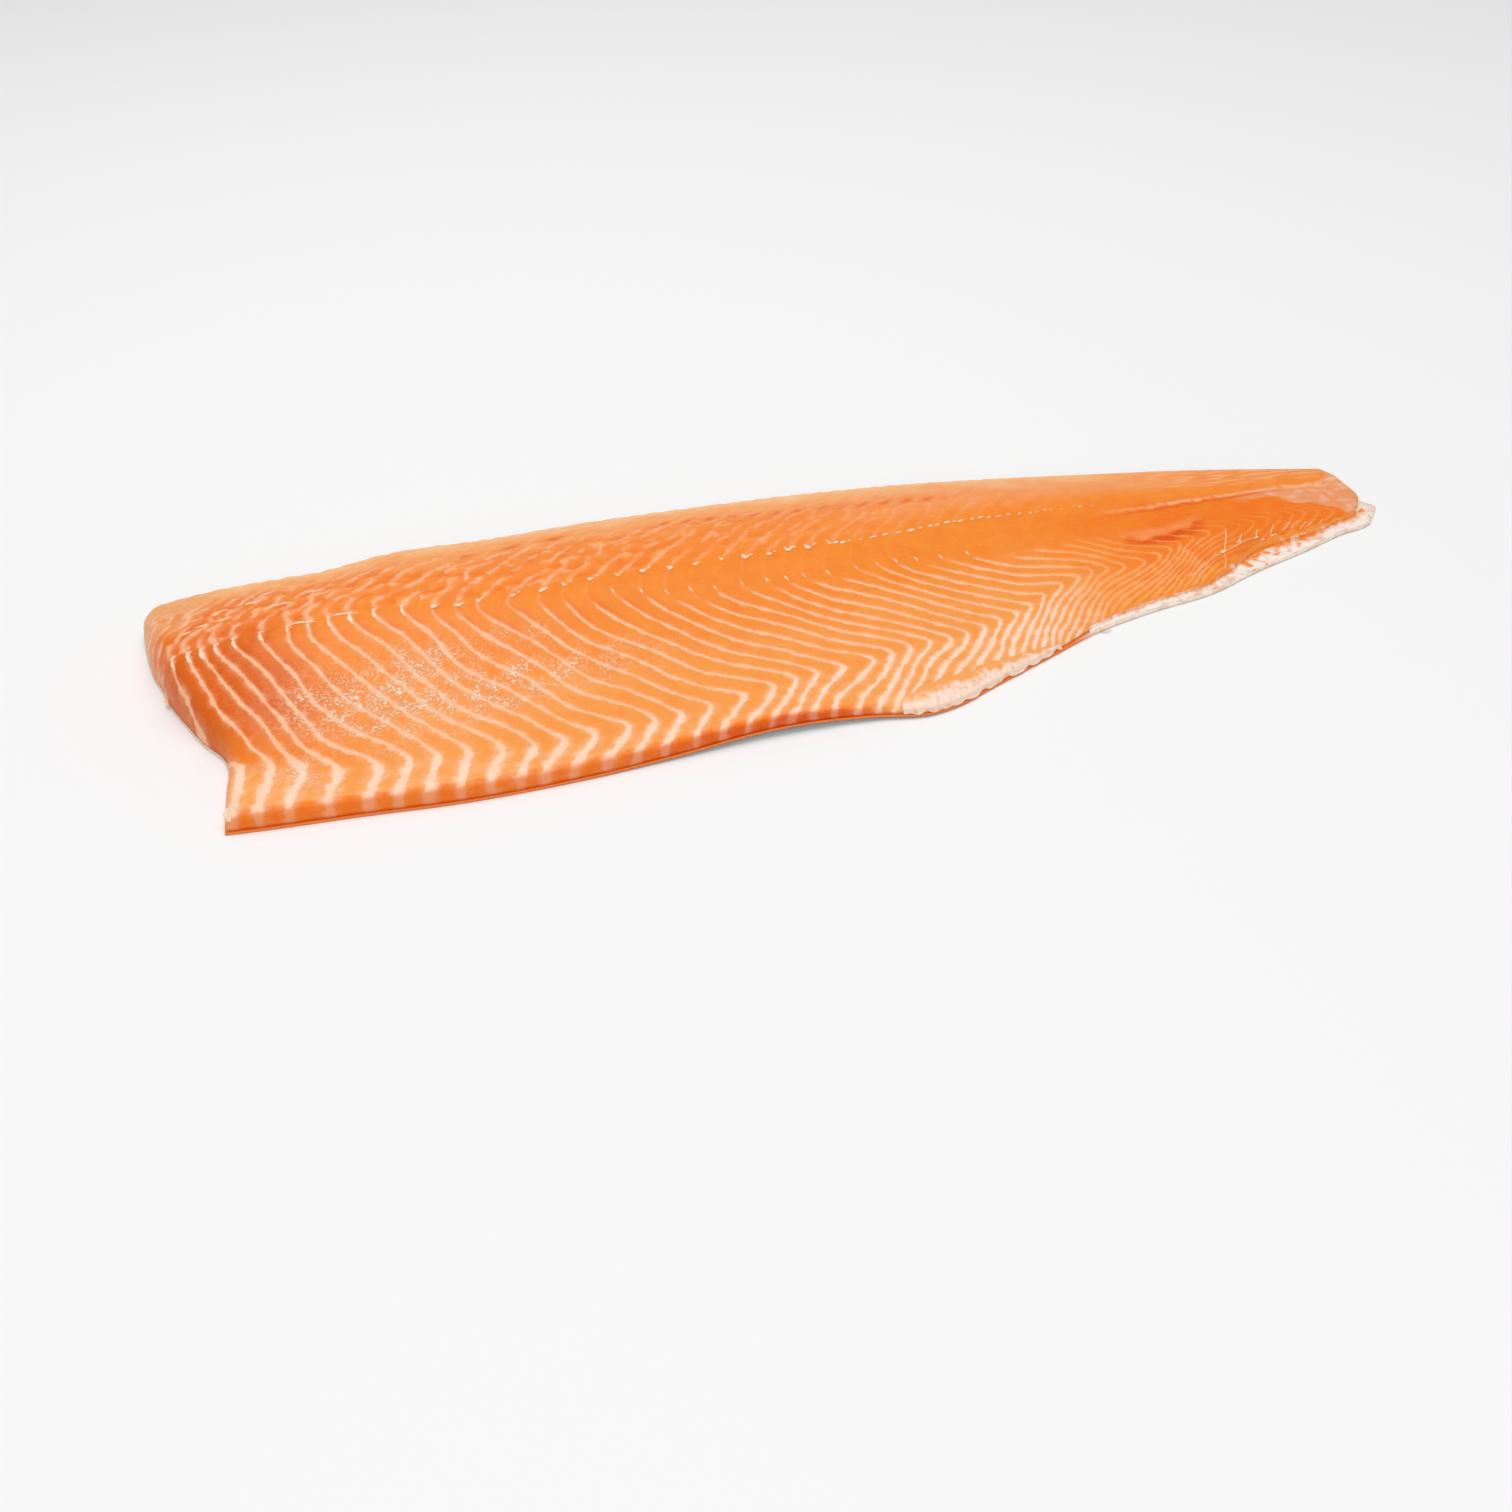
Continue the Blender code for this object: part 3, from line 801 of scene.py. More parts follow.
# Wet orange muscle with the pale lines drawn from the line number, so that they stay sharp at any distance
def makeFleshMaterial():
    gloss = fleshGloss
    material, tree, shader = newMaterial("wet_salmon_flesh")
    density = readNumber(tree, "lineDensity")
    fine = multiply(tree, calculate(tree, "SUBTRACT", noise(tree, 1.6 * mm, 3), 0.5), gloss["fray"])
    broad = multiply(tree, calculate(tree, "SUBTRACT", noise(tree, 9 * mm, 2), 0.5), gloss["bend"])
    shift = multiply(tree, calculate(tree, "ADD", fine, broad), density)
    number = calculate(tree, "ADD", readNumber(tree, "lineNumber"), shift)
    thick = patches(tree, 4.5 * mm, 2, 0.3, 0.7, *gloss["lineScale"])
    away = calculate(tree, "DIVIDE", calculate(tree, "PINGPONG", number, 0.5), density)
    away = calculate(tree, "DIVIDE", away, multiply(tree, readNumber(tree, "lineHalf"), thick))
    gaps = multiply(tree, patches(tree, 6.5 * mm, 2, 0.56, 0.42), readNumber(tree, "lineBroken"))
    kept = multiply(tree, calculate(tree, "SUBTRACT", 1.0, gaps), readNumber(tree, "lineShow"))
    line = multiply(tree, rescale(tree, away, 0.4, 1.6, 1, 0), kept)
    halo = multiply(tree, rescale(tree, away, 1.0, 3.5, gloss["halo"], 0), kept)
    shadow = rescale(tree, calculate(tree, "FRACT", number), 0.05, 0.55, 1, 0)
    shadow = multiply(tree, shadow, readNumber(tree, "blockShade"))

    lean = cellLean(tree)
    dorsal = readNumber(tree, "dorsalShow")
    cloud = patches(tree, 9 * mm, 3, 0.35, 0.68, 0, gloss["cloud"])
    # Painted shade on the belly and tail side of each small hollow in the back, and a painted highlight in
    # the lines' colour on its back and head edge
    hollowShade = multiply(tree, rescale(tree, lean, 0.15, -0.35, 0, gloss["hollowShade"]), dorsal)
    ridgeHighlight = multiply(tree, rescale(tree, lean, 0.16, 0.42, 0, gloss["ridgeHighlight"]), dorsal)
    ridgeHighlight = multiply(tree, ridgeHighlight, patches(tree, 6 * mm, 2, 0.42, 0.60))
    shade = calculate(tree, "MAXIMUM", calculate(tree, "MAXIMUM", shadow, cloud), hollowShade)
    fibre = patches(tree, 2.0 * mm, 4, 0.56, 0.76, 0, gloss["fibre"], (0.45, 1.6, 1))
    grains = patches(tree, gloss["sparkle"], 5, 0.48, 0.57, 0.10)
    sparkle = multiply(tree, grains, patches(tree, 5 * mm, 3, 0.34, 0.52, 0.10))
    sparkle = multiply(tree, sparkle, readNumber(tree, "sparkle"))

    tint = readColour(tree, "fleshTint")
    tint = mixColours(tree, shade, tint, mixColours(tree, 1.0, tint, gloss["deep"], "MULTIPLY"))
    tint = mixColours(tree, fibre, tint, mixColours(tree, 0.30, tint, gloss["paleFibre"]))
    for mask in (ridgeHighlight, halo, line):
        tint = mixColours(tree, mask, tint, readColour(tree, "lineTint"))
    # Painted glints: a pale highlight colour laid into the base colour where the face sparkles
    tint = mixColours(tree, multiply(tree, sparkle, 0.95), tint, gloss["wetLight"])
    tree.links.new(tint, shader.inputs["Base Color"])
    rough = patches(tree, 5 * mm, 3, 0.3, 0.7, *gloss["roughness"])
    tree.links.new(rough, shader.inputs["Roughness"])
    grain = multiply(tree, noise(tree, gloss["grain"], 3), gloss["grainHeight"])
    dimple = multiply(tree, noise(tree, gloss["dimple"], 2), gloss["dimpleHeight"])
    glint = multiply(tree, sparkle, gloss["sparkleHeight"])
    setBump(tree, shader, calculate(tree, "ADD", calculate(tree, "ADD", grain, dimple), glint))
    setShader(
        shader, Subsurface_Weight=gloss["glow"], Subsurface_Radius=gloss["glowReach"],
        Subsurface_Scale=gloss["glowScale"], Coat_Weight=gloss["coat"], IOR=wetIndex,
        Coat_Roughness=gloss["coatRoughness"], Specular_IOR_Level=gloss["specular"],
    )
    return material


# Where a place lies in its Voronoi cell of the back's small hollows, from about -0.5 at the cell's belly
# and tail side to 0.5 at its back and head side: the part of (place - cell middle) along one heading
def cellLean(tree):
    at = warped(tree, 3.0 * mm, 7 * mm)
    inputs = {"Vector": at, "Scale": 1 / fleshGloss["scallop"], "Smoothness": 0.5}
    cells = addNode(tree, "TexVoronoi", inputs, feature="SMOOTH_F1")
    offset = vector(tree, "SUBTRACT", at, cells.outputs["Position"])
    heading = (-0.45 / fleshGloss["scallop"], 0.85 / fleshGloss["scallop"], 0)
    return vector(tree, "DOT_PRODUCT", offset, heading, "Value")


# Object coordinates pushed about by noise: by up to reach metres, in swirls of the given size
def warped(tree, reach, size):
    inputs = {"Vector": objectPlace(tree), "Scale": 1 / size, "Detail": 2.0}
    push = vector(tree, "SUBTRACT", addNode(tree, "TexNoise", inputs).outputs["Color"], (0.5,) * 3)
    return vector(tree, "ADD", objectPlace(tree), vector(tree, "MULTIPLY", push, (2 * reach,) * 3))


fleshGrid = {
    "columns": 560,
    "rows": 146,
    "underStep": 6,                # the underside keeps one row in this many
    "endCrowding": (2.0, 0.012),   # extra and reach of crowdedSteps
    "sideCrowding": (3.0, 0.03),
}


# Grid of u along the fillet and v across it, closer together near the edges
def crowdedGrid(columns, rows, endCrowding, sideCrowding):
    steps = crowdedSteps(columns, *endCrowding), crowdedSteps(rows, *sideCrowding)
    return np.meshgrid(*steps, indexing="ij")


# The flesh: top and underside are cutFace and fleshUnder over the same plan
def makeFlesh():
    rows = fleshGrid["rows"]
    grid = crowdedGrid(fleshGrid["columns"], rows, fleshGrid["endCrowding"], fleshGrid["sideCrowding"])
    x, y = fleshPlan(*grid)
    top = np.dstack([x, y, cutFace(x.ravel(), y.ravel()).reshape(x.shape)])
    under = np.dstack([x, y, fleshUnder(x, y)])
    underRows = sorted({*range(0, rows, fleshGrid["underStep"]), rows})
    flesh = makeSlab("salmon_flesh_cut", top, under, list(range(rows + 1)), underRows)
    x, y, _ = pointsOf(flesh).T
    mx, my, above, down = landmarks(x, y)[:4]
    number = lineNumber(x, y)
    half, show, broken, lineTint = lineLook(x, y)
    headShade = ease(-185, -225, mx) * ease(-60, -40, my) * (1 - ease(25, 45, my))
    startShade = bell(down, curve(muscle["startAt"], mx) + 0.10, 0.09)
    startShade = startShade * ease(-215, -185, mx) * (1 - ease(-95, -40, mx))
    dorsal = curve([(-290, 1.0), (-130, 0.95), (-20, 0.6), (80, 0.2)], mx)
    store(
        flesh,
        lineNumber=number,
        lineDensity=lineDensity(x, y, number),
        lineHalf=half,
        lineShow=show,
        lineBroken=broken,
        lineTint=lineTint,
        fleshTint=fleshTint(x, y),
        blockShade=np.clip(0.26 * show + 0.4 * headShade + 0.7 * startShade, 0, 1),
        dorsalShow=dorsal * ease(0.5, 5, above) * (1 - 0.55 * ease(28, 48, above)),
        sparkle=sparkleMask(x, y),
    )
    flesh.data.materials.append(makeFleshMaterial())
    return flesh


skinGrid = {
    "columns": 400,
    "rows": 170,
    "topStep": 6,                 # the top keeps one row in this many past its strip of belly rows
    "topStrip": 44,
    "endCrowding": (1.0, 0.02),
    "sideCrowding": (4.0, 0.06),
}
skinCrinkle = {"height": 0.30 * mm, "size": 5.0}
scales = {"length": 4.8 * mm, "width": 4.0 * mm, "height": 0.14 * mm}


# Overlapping scales: the share of the way from one scale's free edge to the next along x, where every other
# row is half a scale further on and each free edge is an arc
def scaleShare(x, y):
    row = np.floor(y / scales["width"])
    aside = y / scales["width"] - row - 0.5
    phase = x / scales["length"] + 0.5 * np.mod(row, 2) + 0.9 * aside**2
    return phase - np.floor(phase)


# The skin: one even thickness over the underside, scaled below and crinkled where it lies bare
def makeSkin():
    rows, strip = skinGrid["rows"], skinGrid["topStrip"]
    grid = crowdedGrid(skinGrid["columns"], rows, skinGrid["endCrowding"], skinGrid["sideCrowding"])
    x, y = skinPlan(*grid)
    bare = ease(0.2 * mm, -0.6 * mm, y - fleshEdge(x)) * ease(0.08, 0.12, x)
    crinkle = skinCrinkle["height"] * bare * (0.9 + 0.6 * ripple(x / mm, y / mm, skinCrinkle["size"], 41))
    low = underside(x, y)
    top = np.dstack([x, y, low + form["skinThickness"] + crinkle])
    under = np.dstack([x, y, low + scales["height"] * scaleShare(x, y)])
    topRows = sorted({*range(strip), *range(strip, rows, skinGrid["topStep"]), rows})
    skin = makeSlab("salmon_skin_layer", top, under, topRows, list(range(rows + 1)))
    x, y, z = pointsOf(skin).T
    v = shareAcross(bellyLine(x), midLine(x), backLine(x), y)
    sides = np.minimum(y - bellyLine(x), backLine(x) + form["rim"] / 2 - y)
    rim = np.minimum(sides, np.minimum(x - endLine(headEnd, v), endLine(skinTail, v) - x))
    inner = np.maximum(ease(0.3 * mm, 0.7 * mm, z - underside(x, y)), rim < 0.1 * mm)
    bare = np.maximum(ease(0.095, 0.115, x), ease(-0.225, -0.24, x) * ease(-0.066, -0.060, y))
    store(skin, innerSide=inner, bareShow=bare, towardsBack=v)
    skin.data.materials.append(makeSkinMaterial())
    return skin


skinColours = {
    "film": (240, 128, 44),
    "inner": (244, 228, 212),
    "innerPink": (238, 204, 180),
    "silver": (196, 198, 198),
    "back": (58, 66, 70),
    "spot": (20, 22, 24),
}
skinGloss = {
    "roughness": (0.28, 0.42),
    "coat": 0.4,
    "coatRoughness": 0.10,
    "scaleEdge": (0.62, 0.64, 0.66, 1),  # what a colour is multiplied by at a scale's edge
    "spotSpacing": 17 * mm,
}


# scaleShare on Object coordinates, in nodes
def scaleNodes(tree):
    stretch = (1 / scales["length"], 1 / scales["width"], 1)
    x, y, _ = addNode(tree, "SeparateXYZ", {0: objectPlace(tree, stretch)}).outputs
    row = calculate(tree, "FLOOR", y)
    aside = calculate(tree, "SUBTRACT", calculate(tree, "FRACT", y), 0.5)
    bowed = multiply(tree, aside, aside, 0.9)
    shifted = multiply(tree, calculate(tree, "FLOORED_MODULO", row, 2.0), 0.5)
    phase = calculate(tree, "ADD", calculate(tree, "ADD", x, shifted), bowed)
    return calculate(tree, "FRACT", phase)


# Wet skin: pinkish white inside, silver scales outside that darken towards the back, with a few dark spots
def makeSkinMaterial():
    gloss, paint = skinGloss, {name: colour(*value) for name, value in skinColours.items()}
    material, tree, shader = newMaterial("wet_salmon_skin")
    blotch = patches(tree, 7 * mm, 3, 0.42, 0.66)
    inner = mixColours(tree, blotch, paint["inner"], paint["innerPink"])
    inner = mixColours(tree, readNumber(tree, "bareShow"), paint["film"], inner)
    share = scaleNodes(tree)
    fading, rising = rescale(tree, share, 0.0, 0.22, 1, 0), rescale(tree, share, 0.9, 1, 0, 1)
    scaleEdge = calculate(tree, "MAXIMUM", fading, rising)
    dark = rescale(tree, readNumber(tree, "towardsBack"), 0.55, 0.86, 0, 1)
    outer = mixColours(tree, dark, paint["silver"], paint["back"])
    rimmed = mixColours(tree, 1.0, outer, gloss["scaleEdge"], "MULTIPLY")
    outer = mixColours(tree, multiply(tree, scaleEdge, 0.7), outer, rimmed)
    inputs = {"Vector": objectPlace(tree), "Scale": 1 / gloss["spotSpacing"]}
    spots = addNode(tree, "TexVoronoi", inputs, voronoi_dimensions="2D").outputs["Distance"]
    spot = multiply(tree, rescale(tree, spots, 0.11, 0.16, 1, 0), dark)
    outer = mixColours(tree, spot, outer, paint["spot"])
    innerSide = readNumber(tree, "innerSide")
    tree.links.new(mixColours(tree, innerSide, outer, inner), shader.inputs["Base Color"])
    wrinkle = multiply(tree, noise(tree, 1.4 * mm, 3), 0.10 * mm)
    outerSide = calculate(tree, "SUBTRACT", 1.0, innerSide)
    scaled = multiply(tree, share, -0.5 * scales["height"], outerSide)
    setBump(tree, shader, calculate(tree, "ADD", scaled, wrinkle))
    rough = rescale(tree, blotch, 0, 1, *gloss["roughness"])
    tree.links.new(rough, shader.inputs["Roughness"])
    setShader(shader, Coat_Weight=gloss["coat"], Coat_Roughness=gloss["coatRoughness"], IOR=wetIndex)
    return material


paleGloss = {
    "roughness": 0.38,
    "coat": 0.4,
    "coatRoughness": 0.12,
    "speck": (1, 0.88, 0.78, 1),
}


# Wet fat or thin membrane: a pale colour stained by another in patches, with a granular surface, which
# turns into one of the flesh's colours where the attribute blend is high
def makePaleMaterial(name, style):
    material, tree, shader = newMaterial(name)
    stained = patches(tree, style["stainSize"], 4, style["stainFrom"], style["stainFrom"] + 0.18)
    tint = mixColours(tree, stained, colour(*style["base"]), colour(*style["stain"]))
    tint = mixColours(tree, patches(tree, 1.2 * mm, 3, 0.58, 0.75, 0, 0.25), tint, paleGloss["speck"])
    ragged = calculate(tree, "ADD", readNumber(tree, "blend"), noise(tree, 2.8 * mm, 3))
    blend = rescale(tree, ragged, 0.80, 1.35, 0, 1)
    tint = mixColours(tree, blend, tint, colour(*fleshColours[style["border"]]))
    tree.links.new(tint, shader.inputs["Base Color"])
    setBump(tree, shader, multiply(tree, noise(tree, style["grain"], 4), style["grainHeight"]))
    setShader(
        shader, Roughness=paleGloss["roughness"], Coat_Weight=paleGloss["coat"],
        Coat_Roughness=paleGloss["coatRoughness"], IOR=wetIndex,
    )
    return material


# Shared by the thin sheets, in mm
sheetForm = {"crowding": (3.0, 0.08), "lift": 0.16, "thinnest": 0.08, "narrowest": 0.4}


# Thin sheet over what lies below it, between two border lines: x runs evenly from start to end and y
# crosses from the low line to the high one; it is lifted a little and thins out to its borders
def makeSheet(name, values):
    rows, seed = values["rows"], values["seed"]
    steps = np.linspace(0, 1, values["columns"] + 1), crowdedSteps(rows, *sheetForm["crowding"])
    u, v = np.meshgrid(*steps, indexing="ij")
    x = (values["from"] + (values["to"] - values["from"]) * u) * mm
    ragged, size = values["ragged"] * mm, values["raggedSize"]
    low = values["lowLine"](x) + ragged * ripple(x / mm, 0 * x, size, seed)
    high = values["highLine"](x) + 1.4 * ragged * ripple(x / mm, 0 * x, size, seed + 1)
    high = np.maximum(high, low + sheetForm["narrowest"] * mm)
    y = low + (high - low) * v
    body = quarterRound(v, 0.16) * ease(0, 0.7, 1 - v)
    body = body * quarterRound(u, 0.04) * quarterRound(1 - u, 0.04)
    bumps = 0.85 + 0.25 * ripple(x / mm, y / mm, values["lumpSize"], seed + 2)
    thick = sheetForm["thinnest"] * mm + values["thickness"] * mm * body * bumps
    under = groundHeight(x.ravel(), y.ravel()).reshape(x.shape) + sheetForm["lift"] * mm
    kept = list(range(rows + 1))
    sheet = makeSlab(name, np.dstack([x, y, under + thick]), np.dstack([x, y, under]), kept, kept)
    x, y, _ = pointsOf(sheet).T
    blend = (y - values["lowLine"](x)) / (values["highLine"](x) - values["lowLine"](x))
    patchy = 0.35 + 0.65 * ripple(x / mm, 1.6 * y / mm, 7, seed + 3)
    patchy = np.clip(curve(values["patchy"], x / mm) * patchy, 0, None)
    store(sheet, blend=np.clip(blend, 0, 1) ** 1.5 + patchy)
    sheet.data.materials.append(makePaleMaterial(values["material"], values))
    return sheet


# Belly flap: the ragged cream membrane along the belly edge, widest behind the arch, in mm
bellyFlap = {
    "from": 11, "to": 90, "columns": 230, "rows": 40, "thickness": 0.55,
    "ragged": 0.45, "raggedSize": 7, "lumpSize": 3.4, "seed": 51,
    "width": [(11, 4.0), (17, 8), (24, 11), (34, 12), (44, 10), (53, 9.5), (60, 7.5), (70, 6), (80, 3.5),
              (90, 1)],
    "lowLine": lambda x: fleshEdge(x) - 0.7 * mm,
    "highLine": lambda x: fleshEdge(x) + curve(bellyFlap["width"], x / mm) * mm,
    "patchy": [(11, 0.15), (40, 0.25), (90, 0.3)],
    "material": "wet_belly_membrane", "border": "belly",
    "base": (252, 220, 198), "stain": (248, 190, 150), "stainSize": 3.5 * mm, "stainFrom": 0.52,
    "grain": 1.2 * mm, "grainHeight": 0.14 * mm,
}

# White fat along the bare skin near the tail, which creeps up over the flesh's lower border, in mm
tailFat = {
    "from": 106, "to": 276, "columns": 400, "rows": 30, "thickness": 0.55,
    "ragged": 0.6, "raggedSize": 8, "lumpSize": 4, "seed": 61,
    "high": [(106, -52), (120, -46), (138, -40.5), (148, -38), (159, -36), (171, -33.5), (178, -30.5),
             (187, -23.5), (193, -20), (201, -15.5), (210, -11.5), (216, -9.5), (224, -8), (233, -7),
             (241, -6), (248, -4), (260, 0), (268, 2.5), (276, 6.5)],
    "lowLine": lambda x: bellyLine(x) + 1.2 * mm,
    "highLine": lambda x: np.maximum(curve(tailFat["high"], x / mm) * mm, fleshEdge(x) + 1.4 * mm),
    "patchy": [(106, 0.05), (180, 0.1), (192, 0.42), (216, 0.5), (236, 0.4), (250, 0.12), (276, 0.05)],
    "material": "wet_tail_fat", "border": "main",
    "base": (250, 236, 226), "stain": (244, 198, 176), "stainSize": 5 * mm, "stainFrom": 0.50,
    "grain": 2.0 * mm, "grainHeight": 0.12 * mm,
}


# White flecks and strands in the cut face: ranges of line numbers from the head, and lengths in mm
strandStyle = {
    "rings": 14,
    "sides": 8,
    "flat": 0.20,             # height of a strand as a share of its width
    "rise": 0.04,             # how far its middle stands over the flesh, as a share of its width
    "headLines": (-3, 10),
    "midLines": (10, 27),
    "dots": (17, 33),
    "beads": (8, 135),        # from where to where along the midline
    "seed": 81,
    "material": "wet_white_strands", "border": "belly",
    "base": (255, 216, 182), "stain": (255, 192, 144), "stainSize": 3 * mm, "stainFrom": 0.5,
    "grain": 0.8 * mm, "grainHeight": 0.08 * mm,
}

# The branching strands near the tail, scraps at the edges and dashes in the head's back: width, then places
branches = [
    (0.525, [(196, -2), (194, -7), (190, -14), (188, -17)]),
    (1.65, [(185.8, -17.6), (190.2, -16)]),
    (0.375, [(188, -17), (186, -23), (183, -28)]),
    (0.45, [(188, -17), (183, -19), (175, -24), (162, -31)]),
    (0.525, [(188, -17), (195, -14), (204, -10), (209, -9)]),
    (1.275, [(197.5, -11.6), (200.5, -10.4)]), (1.425, [(207.4, -9.6), (210.6, -8.6)]),
    (1.05, [(211, -10.4), (213.4, -9.8)]), (1.2, [(216.4, -8.6), (220.6, -7.8)]),
    (0.45, [(209, -9), (212, -4)]), (0.45, [(199, -11), (203, -6)]),
    (0.45, [(217, -8), (219.5, -5), (222, -2)]), (0.45, [(224, -7), (227, -5), (232, -1)]),
    (0.45, [(229, -6), (233, -3), (237, -2)]), (0.375, [(233, -7), (240, -2)]),
    (0.375, [(238, -6), (245, -1)]), (0.5, [(243, -6), (249, -1.5)]),
    (1.6, [(110.5, -51.3), (113.5, -52.2), (116.5, -51.2)]),
    (2.4, [(-244.6, -69), (-244.9, -73), (-244.4, -76.5)]), (1.8, [(-244.8, -74), (-243.2, -77)]),
    (1.5, [(-219, 13.2), (-214, 13.6), (-208, 12.6)]), (1.5, [(-202, 14.2), (-197, 14.2), (-191, 13)]),
    (1.0, [(-261, 22.6), (-257, 23.4)]), (1.1, [(-256, 25.6), (-250, 26.6)]),
    (1.1, [(-248, 26.6), (-241, 28)]), (1.0, [(-250, 34.4), (-243, 36)]),
    (1.0, [(-237, 37), (-230, 38.4)]), (1.0, [(-229, 29), (-222, 30), (-216, 29.4)]),
    (0.8, [(-212, 36), (-205, 37.6)]),
]


# The branches, and the strands worked out line by line: caps at the head, then flecks with a tick and a
# wing, then beads along the midline, and a row of dots where the lines start
def strandRoutes():
    draw = np.random.default_rng(strandStyle["seed"])
    pick = draw.uniform
    routes = list(branches)
    for n in range(*strandStyle["headLines"]):
        x, y = crossing(n, False)
        routes.append((pick(1.2, 1.8), [(x - 0.2, y + 1.8), (x - 0.2, y - 1), (x + 0.9, y - 4.5)]))
        routes.append((1.1, [(x - 1.3, y + 1.6), (x + 1.4, y + 1.9)]))
    for n in range(*strandStyle["midLines"]):
        x, y = crossing(n, False)
        x, y = x + pick(-0.8, 0.8), y + pick(-0.9, 0.9)
        size, lean = pick(0.6, 1.3), pick(-0.8, 1.2)
        ends = (x - 1.2 * size, y - 0.6 * lean), (x + 1.4 * size, y + 0.6 * lean)
        routes.append((2.2 * size, [ends[0], (x, y), ends[1]]))
        if draw.random() < 0.55:
            routes.append((1.2 * size, [(x, y), (x - pick(0.6, 1.6), y + pick(1.4, 2.6))]))
        if draw.random() < 0.55:
            routes.append((1.0 * size, [(x, y), (x + pick(1.6, 4), y + pick(0.6, 3.4))]))
        if draw.random() < 0.35:
            routes.append((1.3 * size, [(x + 2.4, y + 1.2), (x + 3.8, y + pick(0.8, 2.4))]))
    x, end = strandStyle["beads"]
    while x < end:
        x = x + pick(3.0, 6.5)
        size = pick(0.5, 1.0) * (1 - 0.4 * ease(60, 130, x))
        y = midLine(x * mm) / mm + pick(-0.5, 0.5)
        long = pick(1.2, 2.6) * size
        routes.append((2.0 * size, [(x - long, y - 0.4), (x, y), (x + long, y + 0.5)]))
    for n in range(*strandStyle["dots"]):
        x, y = crossing(n, True)
        y = y + pick(0.2, 1.4)
        routes.append((pick(0.6, 1.0), [(x - 0.4, y + 1.2), (x, y), (x + 0.7, y - 1.6)]))
    return routes


# Each strand is a flattened tube along its route: half width times sin(pi t)^0.6, with a point at each end
def makeStrands():
    sides = strandStyle["sides"]
    turn = np.linspace(0, 2 * np.pi, sides, endpoint=False)
    points, faces, start = [], [], 0
    for width, route in strandRoutes():
        route = np.array(route, float)
        length = np.concatenate([[0], np.cumsum(np.hypot(*np.diff(route, axis=0).T))])
        t = np.linspace(0, 1, max(strandStyle["rings"], len(route) + 2))
        if len(route) > 2:
            x, y = (curve(np.column_stack([length, side]), t * length[-1]) for side in route.T)
        else:
            x, y = (np.interp(t * length[-1], length, side) for side in route.T)
        heading = np.arctan2(np.gradient(y), np.gradient(x))[:, None]
        wide = width / 2 * mm * np.clip(np.sin(np.pi * t), 0, 1) ** 0.6
        wide = (wide * (1 + 0.25 * ripple(x, y, 3, 83)))[:, None]
        x, y = x * mm, y * mm
        z = cutFace(x, y) + strandStyle["rise"] * width * mm
        ring = np.dstack([
            x[:, None] - np.sin(heading) * wide * np.cos(turn),
            y[:, None] + np.cos(heading) * wide * np.cos(turn),
            z[:, None] + strandStyle["flat"] * 2 * wide * np.sin(turn),
        ])[1:-1]
        points += [ring.reshape(-1, 3), np.column_stack([x, y, z])[[0, -1]]]
        tip = start + ring.shape[0] * sides
        number = np.arange(start, tip).reshape(-1, sides)
        after = np.roll(number, -1, axis=1)
        faces += np.dstack([number[:-1], after[:-1], after[1:], number[1:]]).reshape(-1, 4).tolist()
        faces += [[tip, b, a] for a, b in zip(number[0].tolist(), after[0].tolist())]
        faces += [[tip + 1, a, b] for a, b in zip(number[-1].tolist(), after[-1].tolist())]
        start = tip + 2
    strands = makeObject("salmon_white_strands", np.concatenate(points), faces)
    strands.data.materials.append(makePaleMaterial(strandStyle["material"], strandStyle))
    return strands


camera = {
    "place": (-0.1442, -0.5238, 0.3717),
    "heading": 73.326,    # degrees from +X
    "down": 36.331,       # degrees below the horizon
    "lens": 35.55,
    "shift": (-0.0605, -0.0635),
}


# The photograph's view, solved from its outline
def makeCamera():
    view = bpy.data.cameras.new("view")
    view.lens = camera["lens"]
    view.sensor_width = 36.0
    view.shift_x, view.shift_y = camera["shift"]
    eye = bpy.data.objects.new("view", view)
    eye.location = camera["place"]
    eye.rotation_euler = (math.radians(90 - camera["down"]), 0, math.radians(camera["heading"] - 90))
    bpy.context.scene.collection.objects.link(eye)
    bpy.context.scene.camera = eye


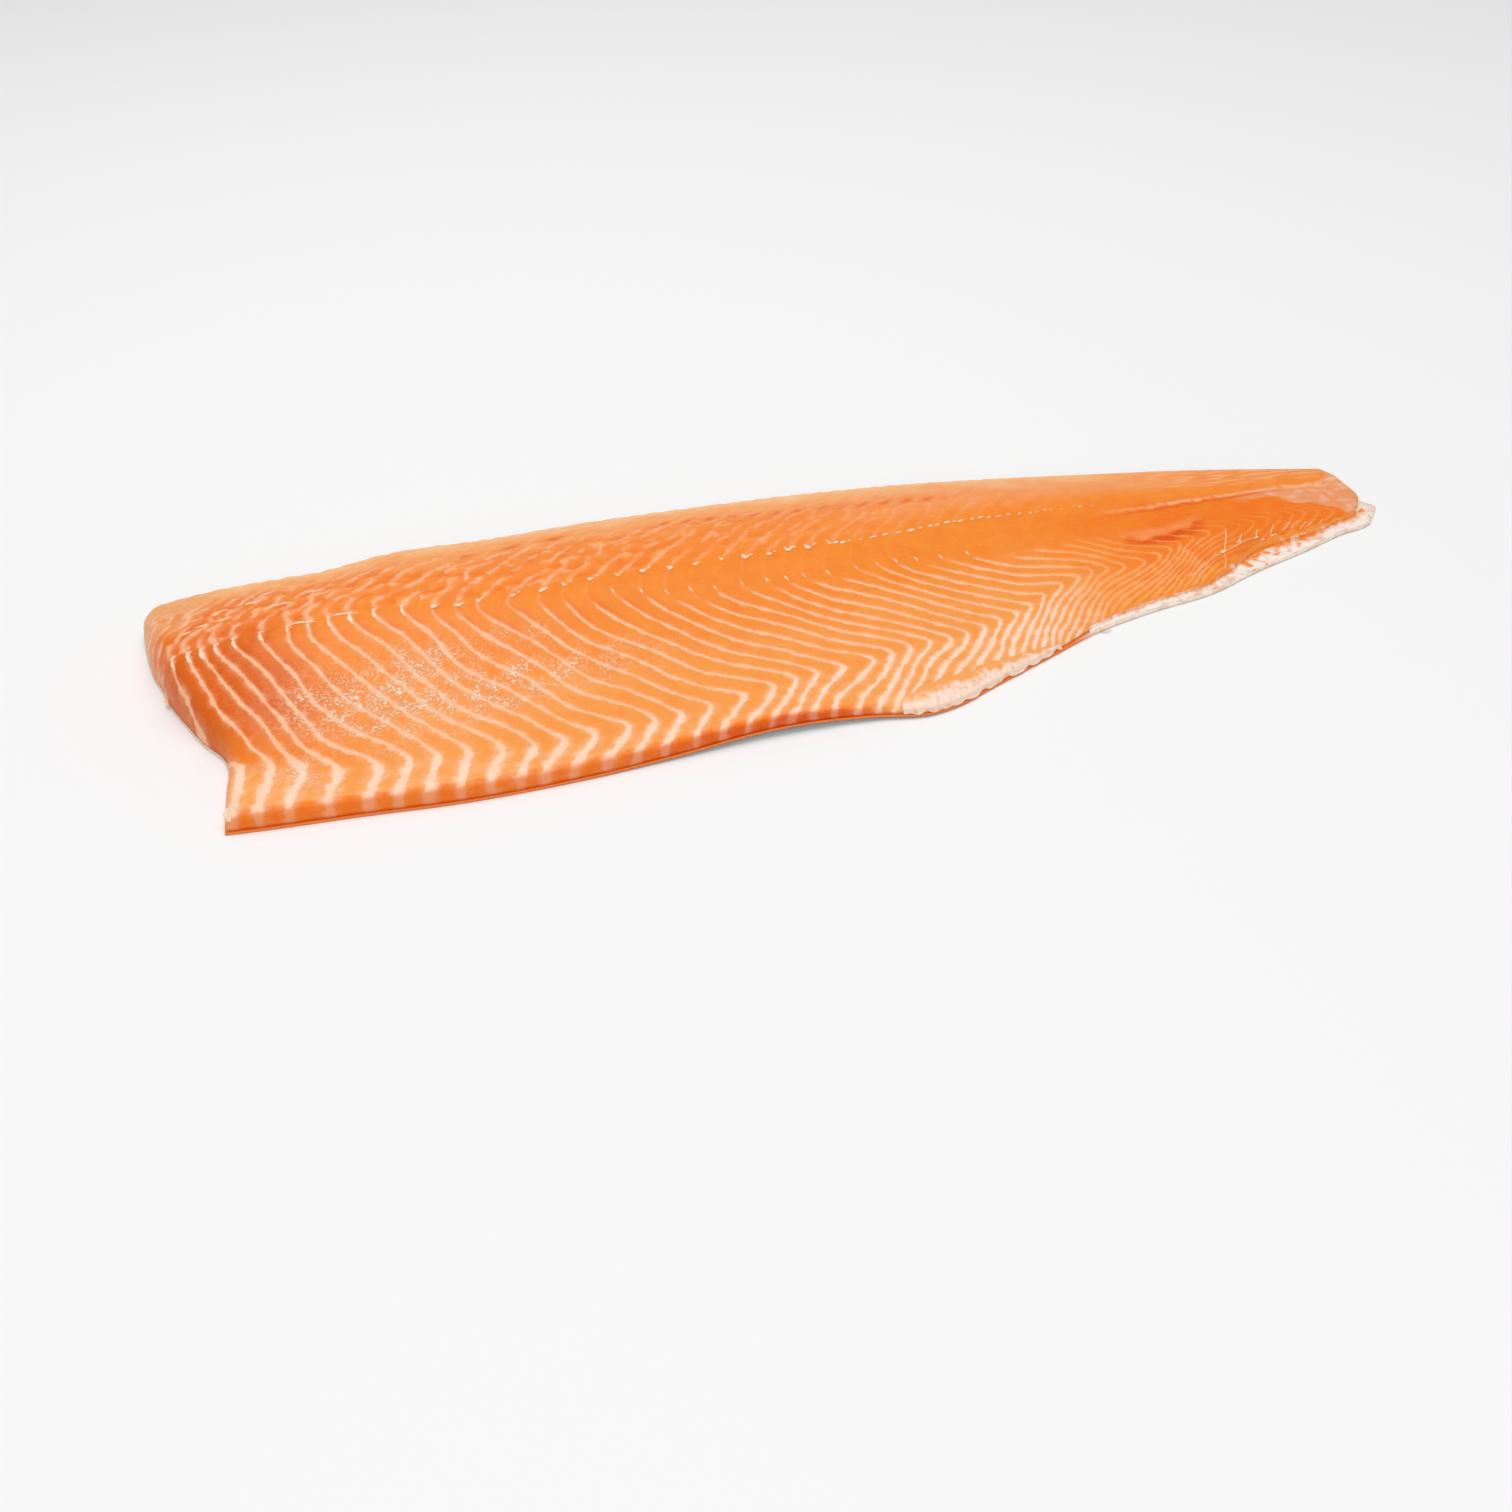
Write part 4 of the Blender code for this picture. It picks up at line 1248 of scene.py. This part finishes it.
# Soft boxes: where each stands, what it looks at, its size in metres and its power in watts
lights = {
    "over": {"place": (0.1, 0.3, 3.0), "aim": (0, 0, 0), "size": 2.6, "power": 47},
    "behind": {"place": (-0.30, 0.62, 1.25), "aim": (-0.12, -0.03, 0), "size": 0.42, "power": 1.5},
    "front": {"place": (-0.5, -1.5, 1.2), "aim": (0, 0, 0), "size": 1.2, "power": 6.5},
}
surround = {"colour": (255, 255, 255), "strength": 0.45}
floorColour = (246, 246, 246)


def makeLights():
    for name, values in lights.items():
        lamp = bpy.data.lights.new(name, "AREA")
        lamp.size = values["size"]
        lamp.energy = values["power"]
        box = bpy.data.objects.new(name, lamp)
        box.location = values["place"]
        away = Vector(values["place"]) - Vector(values["aim"])
        box.rotation_euler = away.to_track_quat("Z", "Y").to_euler()
        bpy.context.scene.collection.objects.link(box)
    world = bpy.data.worlds.new("studio")
    world.use_nodes = True
    background = world.node_tree.nodes["Background"]
    background.inputs["Color"].default_value = colour(*surround["colour"])
    background.inputs["Strength"].default_value = surround["strength"]
    bpy.context.scene.world = world
    bpy.context.scene.view_settings.view_transform = "Standard"


def makeFloor():
    half = 4.0
    corners = np.array([(-half, -half, 0), (half, -half, 0), (half, half, 0), (-half, half, 0)])
    floor = makeObject("floor", corners, [[0, 1, 2, 3]])
    material, _, shader = newMaterial("pale_floor")
    setShader(shader, Base_Color=colour(*floorColour), Roughness=0.7)
    floor.data.materials.append(material)


makeCamera()
makeLights()
makeFloor()
print("camera, lights and floor are in place")

flesh = makeFlesh()
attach(flesh, "root")
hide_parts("flesh")
print("flesh:", len(flesh.data.polygons), "faces")

skin = makeSkin()
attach(skin, "root")
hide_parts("skin")
print("skin:", len(skin.data.polygons), "faces")

strands = makeStrands()
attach(strands, "root")
print("white strands:", len(strands.data.polygons), "faces")

for sheet in (makeSheet("salmon_belly_flap", bellyFlap), makeSheet("salmon_tail_fat", tailFat)):
    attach(sheet, "root")
    print(sheet.name + ":", len(sheet.data.polygons), "faces")
